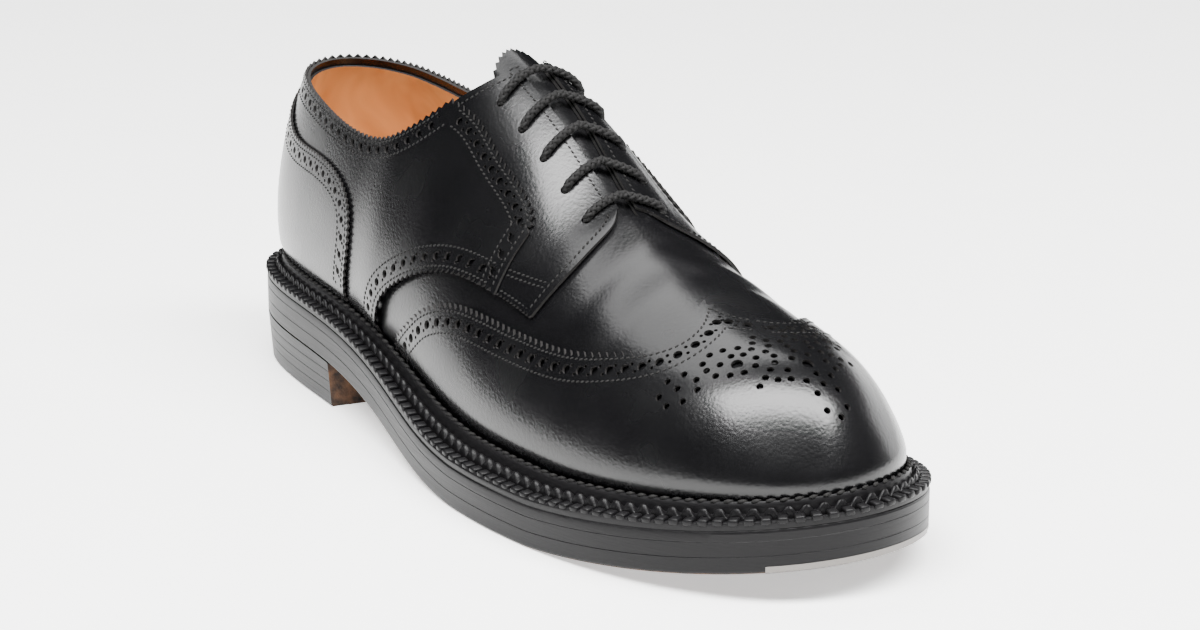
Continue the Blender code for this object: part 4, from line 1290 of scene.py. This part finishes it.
# %% Insole and toe plate
cushion = ((0.4, 0.0), (0.0, 0.3), (0.0, 0.8), (0.5, 1.0))
bm = layer_mesh(shares, shares, seat, lambda x: seat(x) + INSOLE, cushion,
                lambda u: float(section(u % 1)[MARGIN]) + WALL + 2 * GAP)
add_piece("insole_leather", bm, [lining_tan], ["insole"])

PLATE_X, PLATE, PLATE_PROUD, PLATE_STRIPS = 300.0, 2.0, 0.05, 60
plate_wall = ((0.3, 0.0), (-0.12, 0.15), (-0.12, 1.0))
plate_shares = []
for side in (OUTER, INNER):
    first = edge_share(side, PLATE_X, 0.0, 0.6, 1.0)
    plate_shares.append(first + (1 - first) * np.sin(np.linspace(0, np.pi / 2, PLATE_STRIPS)))
bm = layer_mesh(*plate_shares, lambda x: underside(x) - PLATE_PROUD, lambda x: underside(x) + PLATE, plate_wall)
add_piece("toe_plate_steel", bm, [steel], ["toe_plate"], sharp=30)

# %% [markdown]
# ## Storm welt
# The welt is the strip that joins upper and sole. A storm welt stands up against the upper and keeps water
# out. From the sole's edge inwards it has a flat leg that is sewn through to the sole, a groove, a bead with
# notches wheeled across it, and a rounded edge beside the upper, sewn with slanting stitches. One grid makes
# the ring: its rows follow the section, and its columns rise and fall with the notches.

# %% Welt
NOTCH, NOTCH_FLAT, WELT_CLEARANCE, WELT_HEIGHT = 4.8, 0.3, 0.75, 6.5
WELT_PATH, STEPS = 5.0, 6        # inset at which the ring is measured, columns to a notch
WELT_SECTION = (
    # share of the way from the sole's edge to the upper, height, depth of the notch there
    (0.05, 0.0, 0.0), (0.03, 1.5, 0.0), (0.05, 2.1, 0.0), (0.11, 2.35, 0.0), (0.22, 2.35, 0.0),
    (0.34, 2.2, 0.0), (0.385, 1.2, 0.0), (0.41, 2.0, 0.0), (0.42, 3.6, 1.0), (0.445, 4.8, 2.0),
    (0.50, 5.5, 2.6), (0.57, 5.4, 2.5), (0.62, 4.7, 1.6), (0.66, 3.9, 0.4), (0.70, 3.6, 0.0),
    (0.73, 5.0, 0.0), (0.77, 6.2, 0.0), (0.84, 6.9, 0.0),
    (0.91, 6.9, 0.0), (0.955, 6.2, 0.0), (0.96, 0.0, 0.0))
fine_u = np.linspace(0, 1, 4001)
ring_parts = np.linalg.norm(np.diff(sole_edge(fine_u, WELT_PATH), axis=0), axis=1)
ring_length = np.concatenate([[0], np.cumsum(ring_parts)])
NOTCHES = round(ring_length[-1] / NOTCH)


def welt_room(u):
    """The sole's edge, and the way from it to the upper where that comes out of the welt."""
    def lower(v):
        point = last_point(u, v)
        return point[..., 2] < seat(point[..., 0]) + WELT_HEIGHT
    v = solve(lower, 0.0, 0.5, u.shape)
    inner = last_point(u, v) + last_normal(u, v) * WELT_CLEARANCE
    edge = sole_edge(u)
    return edge, inner[..., :2] - edge


def welt_point(u, share, height):
    edge, room = welt_room(u)
    spot = edge + room * share
    return np.column_stack([spot, seat(spot[:, 0]) + height])


column_u = np.interp(np.linspace(0, ring_length[-1], NOTCHES * STEPS + 1), ring_length, fine_u)
notch = np.abs((np.arange(NOTCHES * STEPS + 1) / STEPS) % 1 - 0.5) * 2
notch = np.clip((notch - NOTCH_FLAT) / (1 - NOTCH_FLAT), 0, 1)
welt_points = np.stack([welt_point(column_u, share, height - deep * notch)
                        for share, height, deep in WELT_SECTION], 1)
bm = grid_mesh(np.concatenate([welt_points, welt_points[:, :1]], 1))
bmesh.ops.remove_doubles(bm, verts=bm.verts, dist=1e-6)
bmesh.ops.recalc_face_normals(bm, faces=bm.faces)
add_piece("welt_leather", bm, [edge_wax], ["welt"], sharp=50)
print("welt:", NOTCHES, "notches")

# %% [markdown]
# The leg is pressed with a hot wheel into a row of ribs, one to each stitch, and waxed over like the edge, so
# each rib is a small rounded block. On the inner edge the thick waxed thread itself shows. It slants across the
# rounded top.

# %% Welt stitches


def welt_places(pitch, share, height, turn=0.0):
    """Places along the welt at a share of its width: points, directions and ways up."""
    count = round(ring_length[-1] / pitch)
    u = np.interp((np.arange(count) + 0.5) * ring_length[-1] / count, ring_length, fine_u)
    points = welt_point(u, share, height)
    reach = 0.002
    ahead = unit(welt_point((u + reach) % 1, share, height) - welt_point((u - reach) % 1, share, height))
    inwards = unit(np.column_stack([welt_room(u)[1], np.zeros(len(u))]))
    up = unit(np.cross(ahead, -inwards))
    up *= np.sign(up[:, 2:3])
    return points, unit(ahead + turn * inwards), up


def block_base(length, width, height, bevel):
    """A small pressed block with rounded edges."""
    bm = bmesh.new()
    bmesh.ops.create_cube(bm, size=1.0)
    bmesh.ops.scale(bm, vec=(length, width, height), verts=bm.verts)
    bmesh.ops.bevel(bm, geom=bm.edges, offset=bevel, segments=2, profile=0.5, affect="EDGES")
    bmesh.ops.triangulate(bm, faces=bm.faces)
    return bm


leg = copies(block_base(length=3.0, width=3.4, height=2.0, bevel=0.6),
             [welt_places(pitch=4.2, share=0.19, height=2.4)])
add_piece("welt_leg_stitches", leg, [edge_wax], sharp=50)
cord = copies(stitch_base(length=3.3, width=1.35, height=1.3, slant=0.0),
              [welt_places(pitch=4.1, share=0.86, height=7.0, turn=0.35)])
add_piece("welt_edge_stitches", cord, [thread], sharp=ROUND)

# %% [markdown]
# ## Floor and lights
# Black leather has almost no colour of its own, so it is drawn by what it mirrors. The floor is a pale
# sheet that glows a little, like the lit table of a studio, so it is nearly white and the low sides mirror
# it. A long softbox hangs slantwise over the toe, where the toe mirrors it as one broad highlight. A dimmer
# one behind gives the vamp its grey, and a low one lights the far side of the toe. The air on the outer side
# stays dark, as the quarter in the photograph is.

# %% Floor and lights
FLOOR_HALF, AIR_STRENGTH = 6.0, 0.06
floor_paint = two_tone("lit_white_acrylic", 40, 2.0, "#F1F1F0", "#F6F6F5", roughness=0.7, emission_strength=0.8,
                       emission_color=colour("#FFFFFF"))[0]
bm = bmesh.new()
bmesh.ops.create_grid(bm, x_segments=1, y_segments=1, size=FLOOR_HALF)
mesh = bpy.data.meshes.new("floor")
bm.to_mesh(mesh)
bm.free()
mesh.materials.append(floor_paint)
floor = bpy.data.objects.new("floor", mesh)
bpy.context.scene.collection.objects.link(floor)
floor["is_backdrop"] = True

LIGHTS = (
    # name, place, turn about z and tilt in degrees, length, width, watts
    ("toe_softbox", (0.58, -0.14, 1.5), 60, 0.0, 2.6, 0.7, 200.0),
    ("vamp_softbox", (-0.9, 0.0, 1.5), 90, 0.0, 1.6, 1.0, 27.0),
    ("far_softbox", (-0.3, 1.5, 0.32), 0, 90.0, 1.3, 0.5, 9.0),
)
for name, at, turn, tilt, length, width, watts in LIGHTS:
    light = bpy.data.lights.new(name, "AREA")
    light.shape, light.size, light.size_y, light.energy = "RECTANGLE", length, width, watts
    lamp = bpy.data.objects.new(name, light)
    lamp.location = at
    lamp.rotation_euler = (np.radians(-tilt), 0.0, np.radians(turn))
    bpy.context.scene.collection.objects.link(lamp)
world = bpy.data.worlds.new("studio")
bpy.context.scene.world = world
world.use_nodes = True
air = world.node_tree.nodes["Background"].inputs
air["Color"].default_value, air["Strength"].default_value = colour("#8C8C8E"), AIR_STRENGTH
print("lights:", len(LIGHTS))

# %% [markdown]
# ## Sizes and finish
# The box of everything shown, the floor aside, is printed.

# %% Sizes and finish
low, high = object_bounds()
print("visual box:", [[round(x / MM, 1) for x in corner] for corner in (low, high)])
